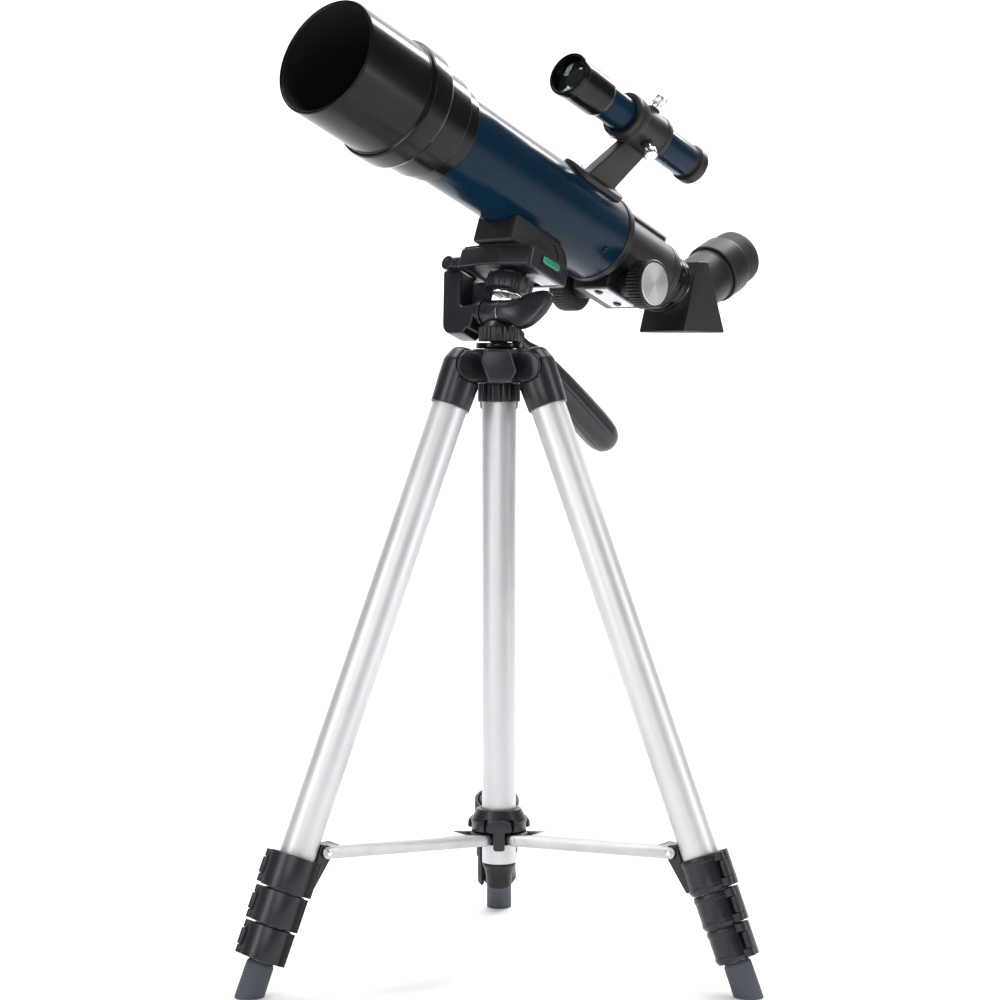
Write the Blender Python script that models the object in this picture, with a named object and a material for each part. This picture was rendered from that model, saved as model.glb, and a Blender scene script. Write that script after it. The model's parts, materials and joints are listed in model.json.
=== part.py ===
"""Travel refractor telescope on a table tripod, standing with its feet on the floor (Z = 0).

Lengths are in millimetres here and become metres when a body is placed. Each group of bodies is
modelled in its own local axes (a leg, the head, the telescope tube, the finder, the eyepiece) and
then placed by the matrix of that group.
"""

import math

import bmesh
import bpy
from mathutils import Matrix, Vector

# Tripod axis, offset so that the middle of the whole object's base is the origin.
TRIPOD_X = -10.54
TRIPOD_Y = -29.22

# Legs
LEG_AZIMUTHS = {1: 210.0, 2: 330.0, 3: 90.0}
FOOT_CIRCLE_R = 155.55
LEG_SLOPE = 0.39
LEG_PIVOT_S = 364.94
TUBE_RADII = (10.0, 8.7, 7.4, 6.1)
TUBE_WALL = 0.8
STRUT_PIN_X = -13.6
STRUT_PIN_S = 85.8

# Centre column and spider
COLUMN_R = 9.57
COLUMN_BORE_R = 9.9
COLUMN_LOW = 58.2
SPIDER_LOW = 330.6
SPIDER_HIGH = 350.0
LOBE_R = 8.9
LOBE_HALF_WIDTH = 10.0
FORK_HALF_GAP = 4.4

# Brace
HUB_PIN_R = 13.0
HUB_PIN_Z = 72.7

# Head, tube, finder
TILT_Z = 370.5
TUBE_Z = 448.85
TUBE_AXIS = Vector((-0.61517, -0.70654, 0.34982))
SIDE_AXIS = Vector((0.75419, -0.65666, 0.0))
PLATFORM_HALF = 27.0
FINDER_ANGLE = 27.0
FINDER_DISTANCE = 67.4
FINDER_SCREW_U = -75.0
PINION_U = -114.0
PINION_W = -21.6

# Diagonal and eyepiece, in the upright plane of the tube: distance along the ground, height
EYEPIECE_FOOT = (-171.2, 384.9)
EYEPIECE_RISE = 24.5

COLOURS = {
    "silver_anodised": (0.62, 0.63, 0.65),
    "charcoal_plastic": (0.045, 0.048, 0.058),
    "foot_rubber": (0.05, 0.055, 0.062),
    "strut_metal": (0.66, 0.66, 0.67),
    "tube_blue": (0.006, 0.022, 0.045),
    "gloss_black": (0.012, 0.012, 0.014),
    "satin_black": (0.018, 0.018, 0.02),
    "chrome": (0.8, 0.8, 0.8),
    "glass": (0.75, 0.85, 0.9),
    "bubble_green": (0.03, 0.45, 0.2),
    "spun_aluminium": (0.75, 0.76, 0.76),
}
ROUGHNESS = {"gloss_black": 0.15, "tube_blue": 0.15, "chrome": 0.1, "glass": 0.05}
METALS = ("silver_anodised", "strut_metal", "chrome", "spun_aluminium")


def axes_matrix(x_axis, y_axis, z_axis, origin):
    """Matrix of a set of local axes, with its origin given from the tripod axis."""
    matrix = Matrix.Identity(4)
    for column, axis in enumerate((x_axis, y_axis, z_axis)):
        for row in range(3):
            matrix[row][column] = axis[row]
    shift = Vector(origin) + Vector((TRIPOD_X, TRIPOD_Y, 0.0))
    for row in range(3):
        matrix[row][3] = shift[row]
    return matrix


def material(name):
    """The shared Principled material of one surface."""
    found = bpy.data.materials.get(name)
    if found:
        return found
    made = bpy.data.materials.new(name)
    made.use_nodes = True
    shader = made.node_tree.nodes["Principled BSDF"]
    shader.inputs["Base Color"].default_value = (*COLOURS[name], 1.0)
    shader.inputs["Roughness"].default_value = ROUGHNESS.get(name, 0.4)
    shader.inputs["Metallic"].default_value = 1.0 if name in METALS else 0.0
    return made


def body_of(bm):
    """A scene object from a bmesh, with all faces out."""
    bmesh.ops.recalc_face_normals(bm, faces=bm.faces)
    mesh = bpy.data.meshes.new("body")
    bm.to_mesh(mesh)
    bm.free()
    body = bpy.data.objects.new("body", mesh)
    bpy.context.scene.collection.objects.link(body)
    return body


def lathe(profile, segments=20, start=0.0):
    """Body of revolution about local Z from a closed loop of (radius, height)."""
    bm = bmesh.new()
    turns = [start + 2 * math.pi * i / segments for i in range(segments)]
    rings = []
    for radius, height in profile:
        if radius < 1e-6:
            rings.append([bm.verts.new((0.0, 0.0, height))])
        else:
            ring = [bm.verts.new((radius * math.cos(t), radius * math.sin(t), height)) for t in turns]
            rings.append(ring)
    for low, high in zip(rings, rings[1:] + rings[:1]):
        if len(low) == len(high) == 1:
            continue
        for i in range(segments):
            j = (i + 1) % segments
            corners = [low[i % len(low)], low[j % len(low)], high[j % len(high)], high[i % len(high)]]
            bm.faces.new(list(dict.fromkeys(corners)))
    return body_of(bm)


def rod(radius, low, high, segments=16, chamfer=0.0):
    """Solid round bar about local Z."""
    if chamfer:
        profile = [(0.0, low), (radius - chamfer, low), (radius, low + chamfer), (radius, high - chamfer)]
        profile += [(radius - chamfer, high), (0.0, high)]
    else:
        profile = [(0.0, low), (radius, low), (radius, high), (0.0, high)]
    return lathe(profile, segments)


def pipe(outer, inner, low, high, segments=20, chamfer=0.0):
    """Round tube about local Z, open at both ends."""
    profile = [(inner, low), (outer - chamfer, low)]
    if chamfer:
        profile += [(outer, low + chamfer), (outer, high - chamfer)]
    profile += [(outer - chamfer, high), (inner, high)]
    return lathe(profile, segments)


def prism(outline, low, high):
    """Outline in local XY, drawn along Z."""
    bm = bmesh.new()
    bottom = [bm.verts.new((x, y, low)) for x, y in outline]
    top = [bm.verts.new((x, y, high)) for x, y in outline]
    bm.faces.new(bottom[::-1])
    bm.faces.new(top)
    for i in range(len(outline)):
        j = (i + 1) % len(outline)
        bm.faces.new((bottom[i], bottom[j], top[j], top[i]))
    return body_of(bm)


def block(x_range, y_range, z_range, round_by=0.0, segments=2):
    """Box between the given limits, with its edges rounded."""
    bm = bmesh.new()
    spans = (x_range, y_range, z_range)
    middle = [(low + high) / 2 for low, high in spans]
    size = [high - low for low, high in spans]
    bmesh.ops.create_cube(bm, size=1.0)
    bmesh.ops.scale(bm, vec=size, verts=bm.verts)
    bmesh.ops.translate(bm, vec=middle, verts=bm.verts)
    if round_by:
        bmesh.ops.bevel(bm, geom=bm.edges[:], offset=round_by, segments=segments, profile=0.5, affect="EDGES")
    return body_of(bm)


def moved(body, matrix):
    """The body after a rigid move of its mesh."""
    body.data.transform(matrix)
    return body


def turned(body, axis, degrees, shift=(0.0, 0.0, 0.0)):
    """The body turned about a local axis through the origin, then shifted."""
    return moved(body, Matrix.Translation(shift) @ Matrix.Rotation(math.radians(degrees), 4, axis))


def along_x(body, shift=(0.0, 0.0, 0.0)):
    """A body drawn along Z, laid along X."""
    return turned(body, "Y", 90.0, shift)


def along_y(body, shift=(0.0, 0.0, 0.0)):
    """A body drawn along Z, laid along Y, keeping X."""
    return turned(body, "X", -90.0, shift)


def side_prism(outline, low, high):
    """Outline in local XZ, drawn along Y."""
    return turned(prism([(x, -z) for x, z in outline], low, high), "X", -90.0)


def tidy(mesh):
    """Merges the nearly coincident points that a Boolean leaves."""
    bm = bmesh.new()
    bm.from_mesh(mesh)
    bmesh.ops.remove_doubles(bm, verts=bm.verts, dist=0.003)
    bmesh.ops.dissolve_degenerate(bm, dist=0.002, edges=bm.edges)
    bm.to_mesh(mesh)
    bm.free()


def boolean(base, tools, operation):
    """Joins or cuts with each tool in turn and removes the tools."""
    for tool in tools:
        modifier = base.modifiers.new("Boolean", "BOOLEAN")
        modifier.operation = operation
        modifier.solver = "EXACT"
        modifier.object = tool
        graph = bpy.context.evaluated_depsgraph_get()
        mesh = bpy.data.meshes.new_from_object(base.evaluated_get(graph))
        base.modifiers.clear()
        base.data = mesh
        tidy(mesh)
        bpy.data.objects.remove(tool, do_unlink=True)
    return base


def join(base, *tools):
    return boolean(base, tools, "UNION")


def cut(base, *tools):
    return boolean(base, tools, "DIFFERENCE")


def place(body, name, surface, frame, pivot=(0.0, 0.0, 0.0)):
    """Names a body, gives it its surface, and puts it in the scene with its origin on its pivot."""
    world_pivot = frame @ Vector(pivot)
    to_metres = Matrix.Scale(0.001, 4)
    body.data.transform(to_metres @ Matrix.Translation(-world_pivot) @ frame)
    body.location = world_pivot * 0.001
    body.name = name
    body.data.name = name
    body.data.materials.clear()
    body.data.materials.append(material(surface))
    return body


def ribbed(radius, depth, low, high, ribs, inner=None):
    """Ring or bar about local Z with straight ribs round it."""
    outline = []
    for i in range(ribs):
        for share, r in ((0.0, radius), (0.5, radius), (0.75, radius - depth)):
            turn = 2 * math.pi * (i + share) / ribs
            outline.append((r * math.cos(turn), r * math.sin(turn)))
    body = prism(outline, low, high)
    if inner:
        cut(body, rod(inner, low - 2, high + 2, 20))
    return body


def arc(centre, radius, start, end, steps):
    """Points on a circle, from one angle to another in degrees."""
    points = []
    for i in range(steps + 1):
        turn = math.radians(start + (end - start) * i / steps)
        points.append((centre[0] + radius * math.cos(turn), centre[1] + radius * math.sin(turn)))
    return points


def leg_frame(azimuth):
    """Leg axes: X outward from the leg, Y sideways, Z up along the leg from its foot."""
    turn = math.radians(azimuth)
    tilt = math.atan(LEG_SLOPE)
    out = Vector((math.cos(turn), math.sin(turn), 0.0))
    side = Vector((-math.sin(turn), math.cos(turn), 0.0))
    up = Vector((0.0, 0.0, 1.0))
    x_axis = out * math.cos(tilt) + up * math.sin(tilt)
    z_axis = up * math.cos(tilt) - out * math.sin(tilt)
    return axes_matrix(x_axis, side, z_axis, out * FOOT_CIRCLE_R)


def radial_frame(azimuth):
    """Upright axes at the tripod axis with X outward towards one leg."""
    turn = math.radians(azimuth)
    out = Vector((math.cos(turn), math.sin(turn), 0.0))
    side = Vector((-math.sin(turn), math.cos(turn), 0.0))
    return axes_matrix(out, side, Vector((0.0, 0.0, 1.0)), (0.0, 0.0, 0.0))


TRIPOD = radial_frame(0.0)
UP_AXIS = TUBE_AXIS.cross(SIDE_AXIS).normalized()
HEAD = axes_matrix(TUBE_AXIS, SIDE_AXIS, UP_AXIS, (0.0, 0.0, TILT_Z))
TUBE = axes_matrix(TUBE_AXIS, SIDE_AXIS, UP_AXIS, (0.0, 0.0, TUBE_Z))
GROUND_AXIS = Vector((TUBE_AXIS.x, TUBE_AXIS.y, 0.0)).normalized()
UPRIGHT = axes_matrix(GROUND_AXIS, SIDE_AXIS, Vector((0.0, 0.0, 1.0)), (0.0, 0.0, 0.0))


def make_top_casting(index, frame):
    """Socket of the upper tube, with the shoulder and the tongue that turns in the spider's fork."""
    pivot = (0.0, 0.0, LEG_PIVOT_S)
    body = lathe([(0.0, 340.6), (10.7, 340.6), (11.3, 341.4), (11.6, 354.0), (11.0, 357.0), (0.0, 357.0)], 18)
    shoulder = [(-8.5, 349.0), (-10.6, 346.0), (-6.0, 343.0), (6.0, 343.0), (11.8, 347.0), (13.6, 356.0)]
    shoulder += [(17.2, 364.5), (17.6, 369.0), (15.6, 372.6), (12.2, 374.6), (4.0, 373.0), (-2.0, 366.0)]
    join(body, side_prism(shoulder, -LOBE_HALF_WIDTH, LOBE_HALF_WIDTH))
    cut(body, along_y(rod(LOBE_R + 0.5, -14.0, 14.0, 20), pivot))
    tongue = side_prism([(-3.5, 350.0), (6.0, 350.0), (5.6, LEG_PIVOT_S), (-5.6, LEG_PIVOT_S)], -4.0, 4.0)
    join(body, tongue, along_y(rod(6.0, -4.0, 4.0, 16), pivot))
    cut(body, along_y(rod(2.7, -6.0, 6.0, 14), pivot), rod(TUBE_RADII[0] + 0.3, 330.0, 349.3, 18))
    return place(body, f"leg_{index}_top_casting", "charcoal_plastic", frame, pivot)


def make_upper_tube(index, frame):
    body = pipe(TUBE_RADII[0], TUBE_RADII[0] - TUBE_WALL, 62.0, 349.0, 18)
    return place(body, f"leg_{index}_upper_tube", "silver_anodised", frame, (0.0, 0.0, LEG_PIVOT_S))


def lever_hinge(radius, low, high, bore):
    """Block on the outside of a collar that carries the lever's pin, along the leg."""
    middle = (low + high) / 2
    arm = block((radius - 3.0, radius + 2.6), (-2.6, 2.6), (middle - 3.2, middle + 3.2), 0.5)
    cut(arm, turned(rod(bore, middle - 6, middle + 6, 12), "Z", 0.0, (radius + 0.6, 0.0, 0.0)))
    return arm


def make_collar(tube_r, low, high, outer, lip_r):
    """Flip-lock collar: a thick ring round the larger tube that closes on the smaller one."""
    profile = [(tube_r + 0.3, low + 2.5), (tube_r + 0.3, high), (outer, high), (outer + 0.5, high - 1.2)]
    profile += [(outer + 0.5, low + 3.0), (outer - 0.6, low), (lip_r + 0.3, low), (lip_r + 0.3, low + 2.5)]
    return lathe(profile, 18)


def add_lever_knuckles(body, reach, low, high):
    """Two ears beside the lever, joined by the pin it turns on."""
    base = (low + high) / 2
    for sign in (-1.0, 1.0):
        ear_low = base + sign * 6.2 - 1.4
        ear = block((reach - 4.4, reach + 1.9), (-2.2, 2.2), (ear_low, ear_low + 2.8))
        join(body, turned(ear, "Z", -20.0))
    pin = moved(rod(0.9, base - 5.6, base + 5.6, 8), Matrix.Translation((reach, 0.0, 0.0)))
    return join(body, turned(pin, "Z", -20.0))


def make_lever(name, frame, reach, ring_r, low, high):
    """Flap that wraps the collar from its hinge to a lifted free end."""
    base = (low + high) / 2
    half = (high - low) / 2 - 1.2
    outer = arc((0.0, 0.0), ring_r + 2.4, -4.0, 120.0, 10)
    inner = arc((0.0, 0.0), ring_r + 0.5, 120.0, -4.0, 10)
    tip_turn = math.radians(128.0)
    tip = [((ring_r + 3.4) * math.cos(tip_turn), (ring_r + 3.4) * math.sin(tip_turn))]
    body = prism(outer + tip + inner, base - half, base + half)
    turn = math.radians(-20.0)
    centre = (reach * math.cos(turn), reach * math.sin(turn))
    knuckle = moved(rod(2.1, base - 4.3, base + 4.3, 10), Matrix.Translation((*centre, 0.0)))
    web = [(r * math.cos(math.radians(a)), r * math.sin(math.radians(a))) for r, a in
           ((ring_r + 0.7, -17.0), (ring_r + 2.2, -17.0), (ring_r + 2.2, 2.0), (ring_r + 0.7, 2.0))]
    join(body, prism(web, base - 4.4, base + 4.4), knuckle)
    cut(body, moved(rod(1.3, base - 20, base + 20, 8), Matrix.Translation((*centre, 0.0))))
    return place(body, name, "charcoal_plastic", frame, (*centre, base))


def make_clamp_1(index, frame):
    """First collar, fixed to the upper tube, with the lug of the strut on its inner side."""
    body = make_collar(TUBE_RADII[0], 59.0, 79.0, 12.1, TUBE_RADII[1])
    lug = side_prism([(-10.6, 61.5), (-12.6, 62.0), (-17.0, 84.0), (-16.2, 88.0), (-13.6, 89.4), (-10.6, 89.0)],
                     -6.6, 6.6)
    cut(lug, rod(TUBE_RADII[0] + 0.3, 50.0, 100.0, 18))
    join(body, lug)
    pin = along_y(rod(1.6, -9.8, 9.8, 12), (STRUT_PIN_X, 0.0, STRUT_PIN_S))
    join(body, pin)
    add_lever_knuckles(body, 15.2, 59.0, 79.0)
    return place(body, f"leg_{index}_clamp_1", "charcoal_plastic", frame, (0.0, 0.0, LEG_PIVOT_S))


def make_section(index, order, frame, low, high, outer, top, reach):
    """Sliding tube with the collar at its lower end."""
    tube_r = TUBE_RADII[order - 1]
    body = make_collar(tube_r - 0.6, low, high, outer, TUBE_RADII[order])
    join(body, pipe(tube_r, tube_r - TUBE_WALL, low + 3.5, top, 18))
    add_lever_knuckles(body, reach, low, high)
    return place(body, f"leg_{index}_section_{order}", "charcoal_plastic", frame, (0.0, 0.0, high))


def make_lower_section(index, frame):
    """Thinnest tube with its rubber foot, cut flat where it stands."""
    tube_r = TUBE_RADII[3]
    body = lathe([(0.0, -8.0), (7.6, -8.0), (7.8, 3.0), (7.7, 15.0), (6.9, 17.4), (tube_r, 17.4), (tube_r, 300.0),
                  (tube_r - TUBE_WALL, 300.0), (tube_r - TUBE_WALL, 20.0), (0.0, 20.0)], 18)
    tilt = math.degrees(math.atan(LEG_SLOPE))
    cut(body, turned(block((-40.0, 40.0), (-40.0, 40.0), (-40.0, 0.0)), "Y", tilt))
    return place(body, f"leg_{index}_lower_section", "foot_rubber", frame, (0.0, 0.0, 17.4))


def make_leg(index, azimuth):
    frame = leg_frame(azimuth)
    make_top_casting(index, frame)
    make_upper_tube(index, frame)
    make_clamp_1(index, frame)
    make_lever(f"leg_{index}_lever_1", frame, 15.2, 12.7, 59.0, 79.0)
    make_section(index, 2, frame, 39.4, 58.6, 11.2, 336.0, 14.5)
    make_lever(f"leg_{index}_lever_2", frame, 14.5, 11.8, 39.4, 58.6)
    make_section(index, 3, frame, 20.0, 39.0, 10.4, 322.0, 13.8)
    make_lever(f"leg_{index}_lever_3", frame, 13.8, 11.0, 20.0, 39.0)
    make_lower_section(index, frame)


def make_spider():
    """Centre casting: a sleeve round the column with three forked lobes and the pins of the legs."""
    body = rod(15.2, SPIDER_LOW, SPIDER_HIGH, 28, 0.6)
    pivot_r = FOOT_CIRCLE_R - LEG_SLOPE * 340.0
    for azimuth in LEG_AZIMUTHS.values():
        turn = Matrix.Rotation(math.radians(azimuth), 4, "Z")
        place_r = (pivot_r, 0.0, 340.0)
        lobe = along_y(rod(LOBE_R, -LOBE_HALF_WIDTH, LOBE_HALF_WIDTH, 20, 0.8), place_r)
        arm = block((8.0, pivot_r + 0.7), (-LOBE_HALF_WIDTH + 1.1, LOBE_HALF_WIDTH - 1.1), (332.0, 348.0))
        join(body, moved(lobe, turn), moved(arm, turn))
    for azimuth in LEG_AZIMUTHS.values():
        turn = Matrix.Rotation(math.radians(azimuth), 4, "Z")
        slot = block((15.8, 45.0), (-FORK_HALF_GAP, FORK_HALF_GAP), (320.0, 360.0))
        cut(body, moved(slot, turn))
        join(body, moved(along_y(rod(2.3, -7.0, 7.0, 12), (pivot_r, 0.0, 340.0)), turn))
    boss = turned(rod(6.0, 10.0, 19.0, 16), "X", 90.0, (0.0, 0.0, 340.3))
    join(body, boss)
    cut(body, rod(COLUMN_BORE_R, 320.0, 360.0, 28))
    cut(body, turned(rod(2.8, 8.0, 24.0, 14), "X", 90.0, (0.0, 0.0, 340.3)))
    return place(body, "spider", "charcoal_plastic", TRIPOD, (0.0, 0.0, 340.0))


def make_centre():
    make_spider()
    collar = ribbed(12.0, 0.7, 320.2, 330.2, 18, COLUMN_BORE_R)
    place(collar, "column_collar", "charcoal_plastic", TRIPOD, (0.0, 0.0, 325.0))
    column = lathe([(8.3, COLUMN_LOW), (COLUMN_R, COLUMN_LOW), (COLUMN_R, 349.6), (8.3, 349.6)], 28)
    place(column, "column", "silver_anodised", TRIPOD, (0.0, 0.0, 350.3))
    plate = lathe([(0.0, 344.0), (8.0, 344.0), (8.0, 350.3), (12.6, 350.3), (13.1, 350.9), (13.1, 352.9),
                   (12.6, 353.4), (5.0, 353.4), (5.0, 361.0), (0.0, 361.0)], 24)
    place(plate, "column_top_plate", "charcoal_plastic", TRIPOD, (0.0, 0.0, 353.4))
    cap = lathe([(0.0, 43.6), (7.2, 43.6), (8.0, 45.0), (9.5, 57.0), (9.5, 57.8), (8.0, 57.8), (8.0, 64.0),
                 (0.0, 64.0)], 20)
    place(cap, "column_end_cap", "satin_black", TRIPOD, (0.0, 0.0, 58.0))
    knob = [(-10.1, 3.1), (-6.8, 9.2), (5.8, 9.0), (7.9, 3.8), (10.1, -3.1), (6.8, -9.2), (-5.8, -9.0), (-7.9, -3.8)]
    body = side_prism([(x, z + 340.3) for x, z in knob], -31.0, -20.2)
    join(body, turned(rod(2.4, 11.0, 24.0, 14), "X", 90.0, (0.0, 0.0, 340.3)))
    place(body, "column_lock_knob", "charcoal_plastic", TRIPOD, (0.0, -19.5, 340.3))


def make_brace():
    """Sliding hub on the column and the three channel struts that hold the legs apart."""
    hub = lathe([(COLUMN_BORE_R, 66.8), (14.2, 66.8), (15.0, 68.0), (15.0, 84.0), (12.9, 87.0), (12.7, 90.4),
                 (12.2, 91.0), (COLUMN_BORE_R, 91.0)], 28)
    for azimuth in LEG_AZIMUTHS.values():
        turn = Matrix.Rotation(math.radians(azimuth + 60.0), 4, "Z")
        panel = block((10.4, 17.2), (-6.6, 6.6), (67.0, 83.0), 1.4)
        cut(panel, rod(COLUMN_BORE_R, 50.0, 100.0, 28))
        join(hub, moved(panel, turn))
    for azimuth in LEG_AZIMUTHS.values():
        turn = Matrix.Rotation(math.radians(azimuth), 4, "Z")
        ear = along_y(rod(3.4, -6.9, 6.9, 14), (HUB_PIN_R, 0.0, HUB_PIN_Z))
        gap = block((5.0, 30.0), (-9.2, -7.0), (60.0, 84.5))
        other_gap = block((5.0, 30.0), (7.0, 9.2), (60.0, 84.5))
        cut(hub, moved(gap, turn), moved(other_gap, turn))
        cut(ear, rod(COLUMN_BORE_R + 0.3, 50.0, 100.0, 28))
        join(hub, moved(ear, turn))
    place(hub, "brace_hub", "charcoal_plastic", TRIPOD, (0.0, 0.0, HUB_PIN_Z))
    pin_r = FOOT_CIRCLE_R + STRUT_PIN_X * math.cos(math.atan(LEG_SLOPE))
    pin_r -= STRUT_PIN_S * math.sin(math.atan(LEG_SLOPE))
    pin_z = STRUT_PIN_S * math.cos(math.atan(LEG_SLOPE)) + STRUT_PIN_X * math.sin(math.atan(LEG_SLOPE))
    for index, azimuth in LEG_AZIMUTHS.items():
        place(make_strut(pin_r, pin_z), f"strut_{index}", "strut_metal", radial_frame(azimuth), (pin_r, 0.0, pin_z))


def make_strut(pin_r, pin_z):
    """Folded channel, open below, from the hub to the lug of a leg."""
    rise = math.atan2(pin_z - HUB_PIN_Z, pin_r - HUB_PIN_R)
    length = math.hypot(pin_z - HUB_PIN_Z, pin_r - HUB_PIN_R)
    side = arc((0.0, 0.0), 3.4, 270.0, 120.0, 8) + [(14.0, 4.0), (length - 9.0, 4.0)]
    side += arc((length, 0.0), 3.4, 60.0, -90.0, 8)
    body = side_prism(side, -8.6, 8.6)
    cut(body, block((-20.0, length + 20.0), (-7.7, 7.7), (-20.0, 3.2)))
    cut(body, block((-20.0, 13.0), (-7.7, 7.7), (-20.0, 20.0)))
    cut(body, block((length - 7.0, length + 20.0), (-7.7, 7.7), (-20.0, 20.0)))
    cut(body, along_y(rod(1.9, -20.0, 20.0, 12), (length, 0.0, 0.0)))
    place_matrix = Matrix.Translation((HUB_PIN_R, 0.0, HUB_PIN_Z)) @ Matrix.Rotation(-rise, 4, "Y")
    return moved(body, place_matrix)


def make_head():
    """Pan and tilt head with its platform that flips to one side."""
    body = ribbed(11.7, 0.8, 354.2, 362.4, 18)
    join(body, lathe([(0.0, 361.0), (10.2, 361.0), (9.3, 362.8), (7.4, 365.2), (0.0, 366.0)], 20))
    barrel = along_y(rod(7.1, -9.2, 3.0, 20, 0.4))
    barrel.data.transform(Matrix.Translation((-TRIPOD_X, -TRIPOD_Y, 0.0)) @ HEAD)
    join(body, barrel)
    handle_dir = Vector((0.657, 0.754, -0.7265)).normalized()
    handle_point = Vector((14.4 * 0.657, 14.4 * 0.754, 356.9))
    handle_turn = Vector((0.0, 0.0, 1.0)).rotation_difference(handle_dir).to_matrix().to_4x4()
    handle_axes = Matrix.Translation(handle_point) @ handle_turn
    join(body, moved(rod(5.4, -7.0, 1.5, 14, 0.5), handle_axes))
    cut(body, rod(60.0, 340.0, 354.0, 12))
    cut(body, rod(5.3, 340.0, 361.4, 20), moved(rod(3.0, -4.0, 6.0, 12), handle_axes))
    for tool in (along_y(rod(3.0, -20.0, 20.0, 16)), along_y(rod(8.3, 3.1, 30.0, 24))):
        tool.data.transform(Matrix.Translation((-TRIPOD_X, -TRIPOD_Y, 0.0)) @ HEAD)
        cut(body, tool)
    place(body, "pan_body", "charcoal_plastic", TRIPOD, (0.0, 0.0, 354.2))

    grip = [(0.0, -3.4), (2.6, -3.4), (2.6, 1.9), (3.9, 1.9), (4.1, 8.0), (6.4, 15.0), (8.6, 34.0), (10.3, 70.0), (10.5, 92.0)]
    grip += [(9.9, 98.0), (7.8, 102.5), (4.4, 105.2), (0.0, 106.2)]
    handle = lathe(grip, 20)
    place(moved(handle, handle_axes), "pan_handle", "charcoal_plastic", TRIPOD, tuple(handle_point))

    outline = [(-44.6, 24.0), (-35.2, -6.9), (-33.4, -11.0), (-30.4, -14.4), (-26.6, -16.6), (-22.5, -17.2)]
    outline += [(-19.5, -15.6), (-18.4, -11.6), (-12.7, -11.2), (-12.7, 3.6), (-19.0, 2.2), (-24.2, 1.6), (-30.4, 24.0)]
    arm = prism(outline, -6.4, 6.9)
    arm.data.transform(Matrix(((0, 0, 1, 0), (1, 0, 0, 0), (0, 1, 0, 0), (0, 0, 0, 1))))
    join(arm, along_x(rod(4.2, -6.6, 6.7, 16), (0.0, -36.2, 26.2)))
    cut(arm, along_x(rod(1.9, -20.0, 20.0, 12), (0.0, -36.2, 26.2)))
    join(arm, along_y(rod(7.5, -13.6, -9.6, 20)), along_y(rod(2.7, -12.0, 8.0, 14)))
    place(arm, "tilt_frame", "charcoal_plastic", HEAD, (0.0, -9.5, 0.0))

    wing = [(3.4, -3.6), (9.5, -4.2), (12.8, -6.6), (16.0, -10.8), (24.0, -9.0), (31.5, -3.0), (36.6, 5.0), (37.2, 10.0)]
    wing += [(34.0, 12.4), (27.0, 12.0), (19.0, 8.6), (11.0, 7.0), (3.4, 6.6)]
    lever = prism([(n, w) for n, w in wing], -3.2, 3.2)
    lever.data.transform(Matrix(((0, 0, 1, 0), (1, 0, 0, 0), (0, 1, 0, 0), (0, 0, 0, 1))))
    join(lever, along_y(rod(7.0, 3.3, 13.0, 20, 0.4)))
    cut(lever, along_y(rod(3.0, 0.0, 9.0, 14)))
    place(lever, "tilt_wing_lever", "charcoal_plastic", HEAD, (0.0, 8.0, 0.0))

    plate = block((-20.0, 18.0), (-27.0, 27.0), (22.5, 34.9), 1.2)
    for low, high in ((-13.6, -7.0), (7.1, 14.0)):
        ear = block((low + 0.3, high - 0.3), (-36.0, -24.0), (23.6, 29.0))
        join(plate, ear, along_x(rod(4.2, low, high, 16), (0.0, -36.2, 26.2)))
    join(plate, along_x(rod(1.6, -12.0, 12.0, 12), (0.0, -36.2, 26.2)))
    cut(plate, moved(rod(3.4, 10.0, 50.0, 16), Matrix.Translation((-2.0, 1.0, 0.0))))
    cut(plate, along_y(rod(2.6, 25.2, 40.0, 14), (-1.0, 0.0, 29.4)))
    place(plate, "platform", "charcoal_plastic", HEAD, (0.0, -36.2, 26.2))

    level = along_y(rod(2.3, 25.6, 27.8, 14), (-1.0, 0.0, 29.4))
    place(level, "bubble_level", "bubble_green", HEAD, (-1.0, 27.0, 29.4))

    screw = ribbed(13.5, 0.7, 12.4, 20.0, 18)
    join(screw, rod(3.0, 8.8, 42.0, 14), rod(8.0, 10.5, 14.0, 16))
    ring = pipe(11.6, 10.0, 9.2, 10.8, 22)
    cut(ring, block((-20.0, 20.0), (-20.0, 0.0), (5.0, 15.0)))
    join(ring, block((-11.2, 11.2), (-1.1, 0.9), (9.4, 10.6)))
    join(screw, ring)
    screw = moved(screw, Matrix.Translation((-2.0, 1.0, 0.0)))
    place(screw, "platform_screw", "charcoal_plastic", HEAD, (-2.0, 1.0, 22.0))


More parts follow.
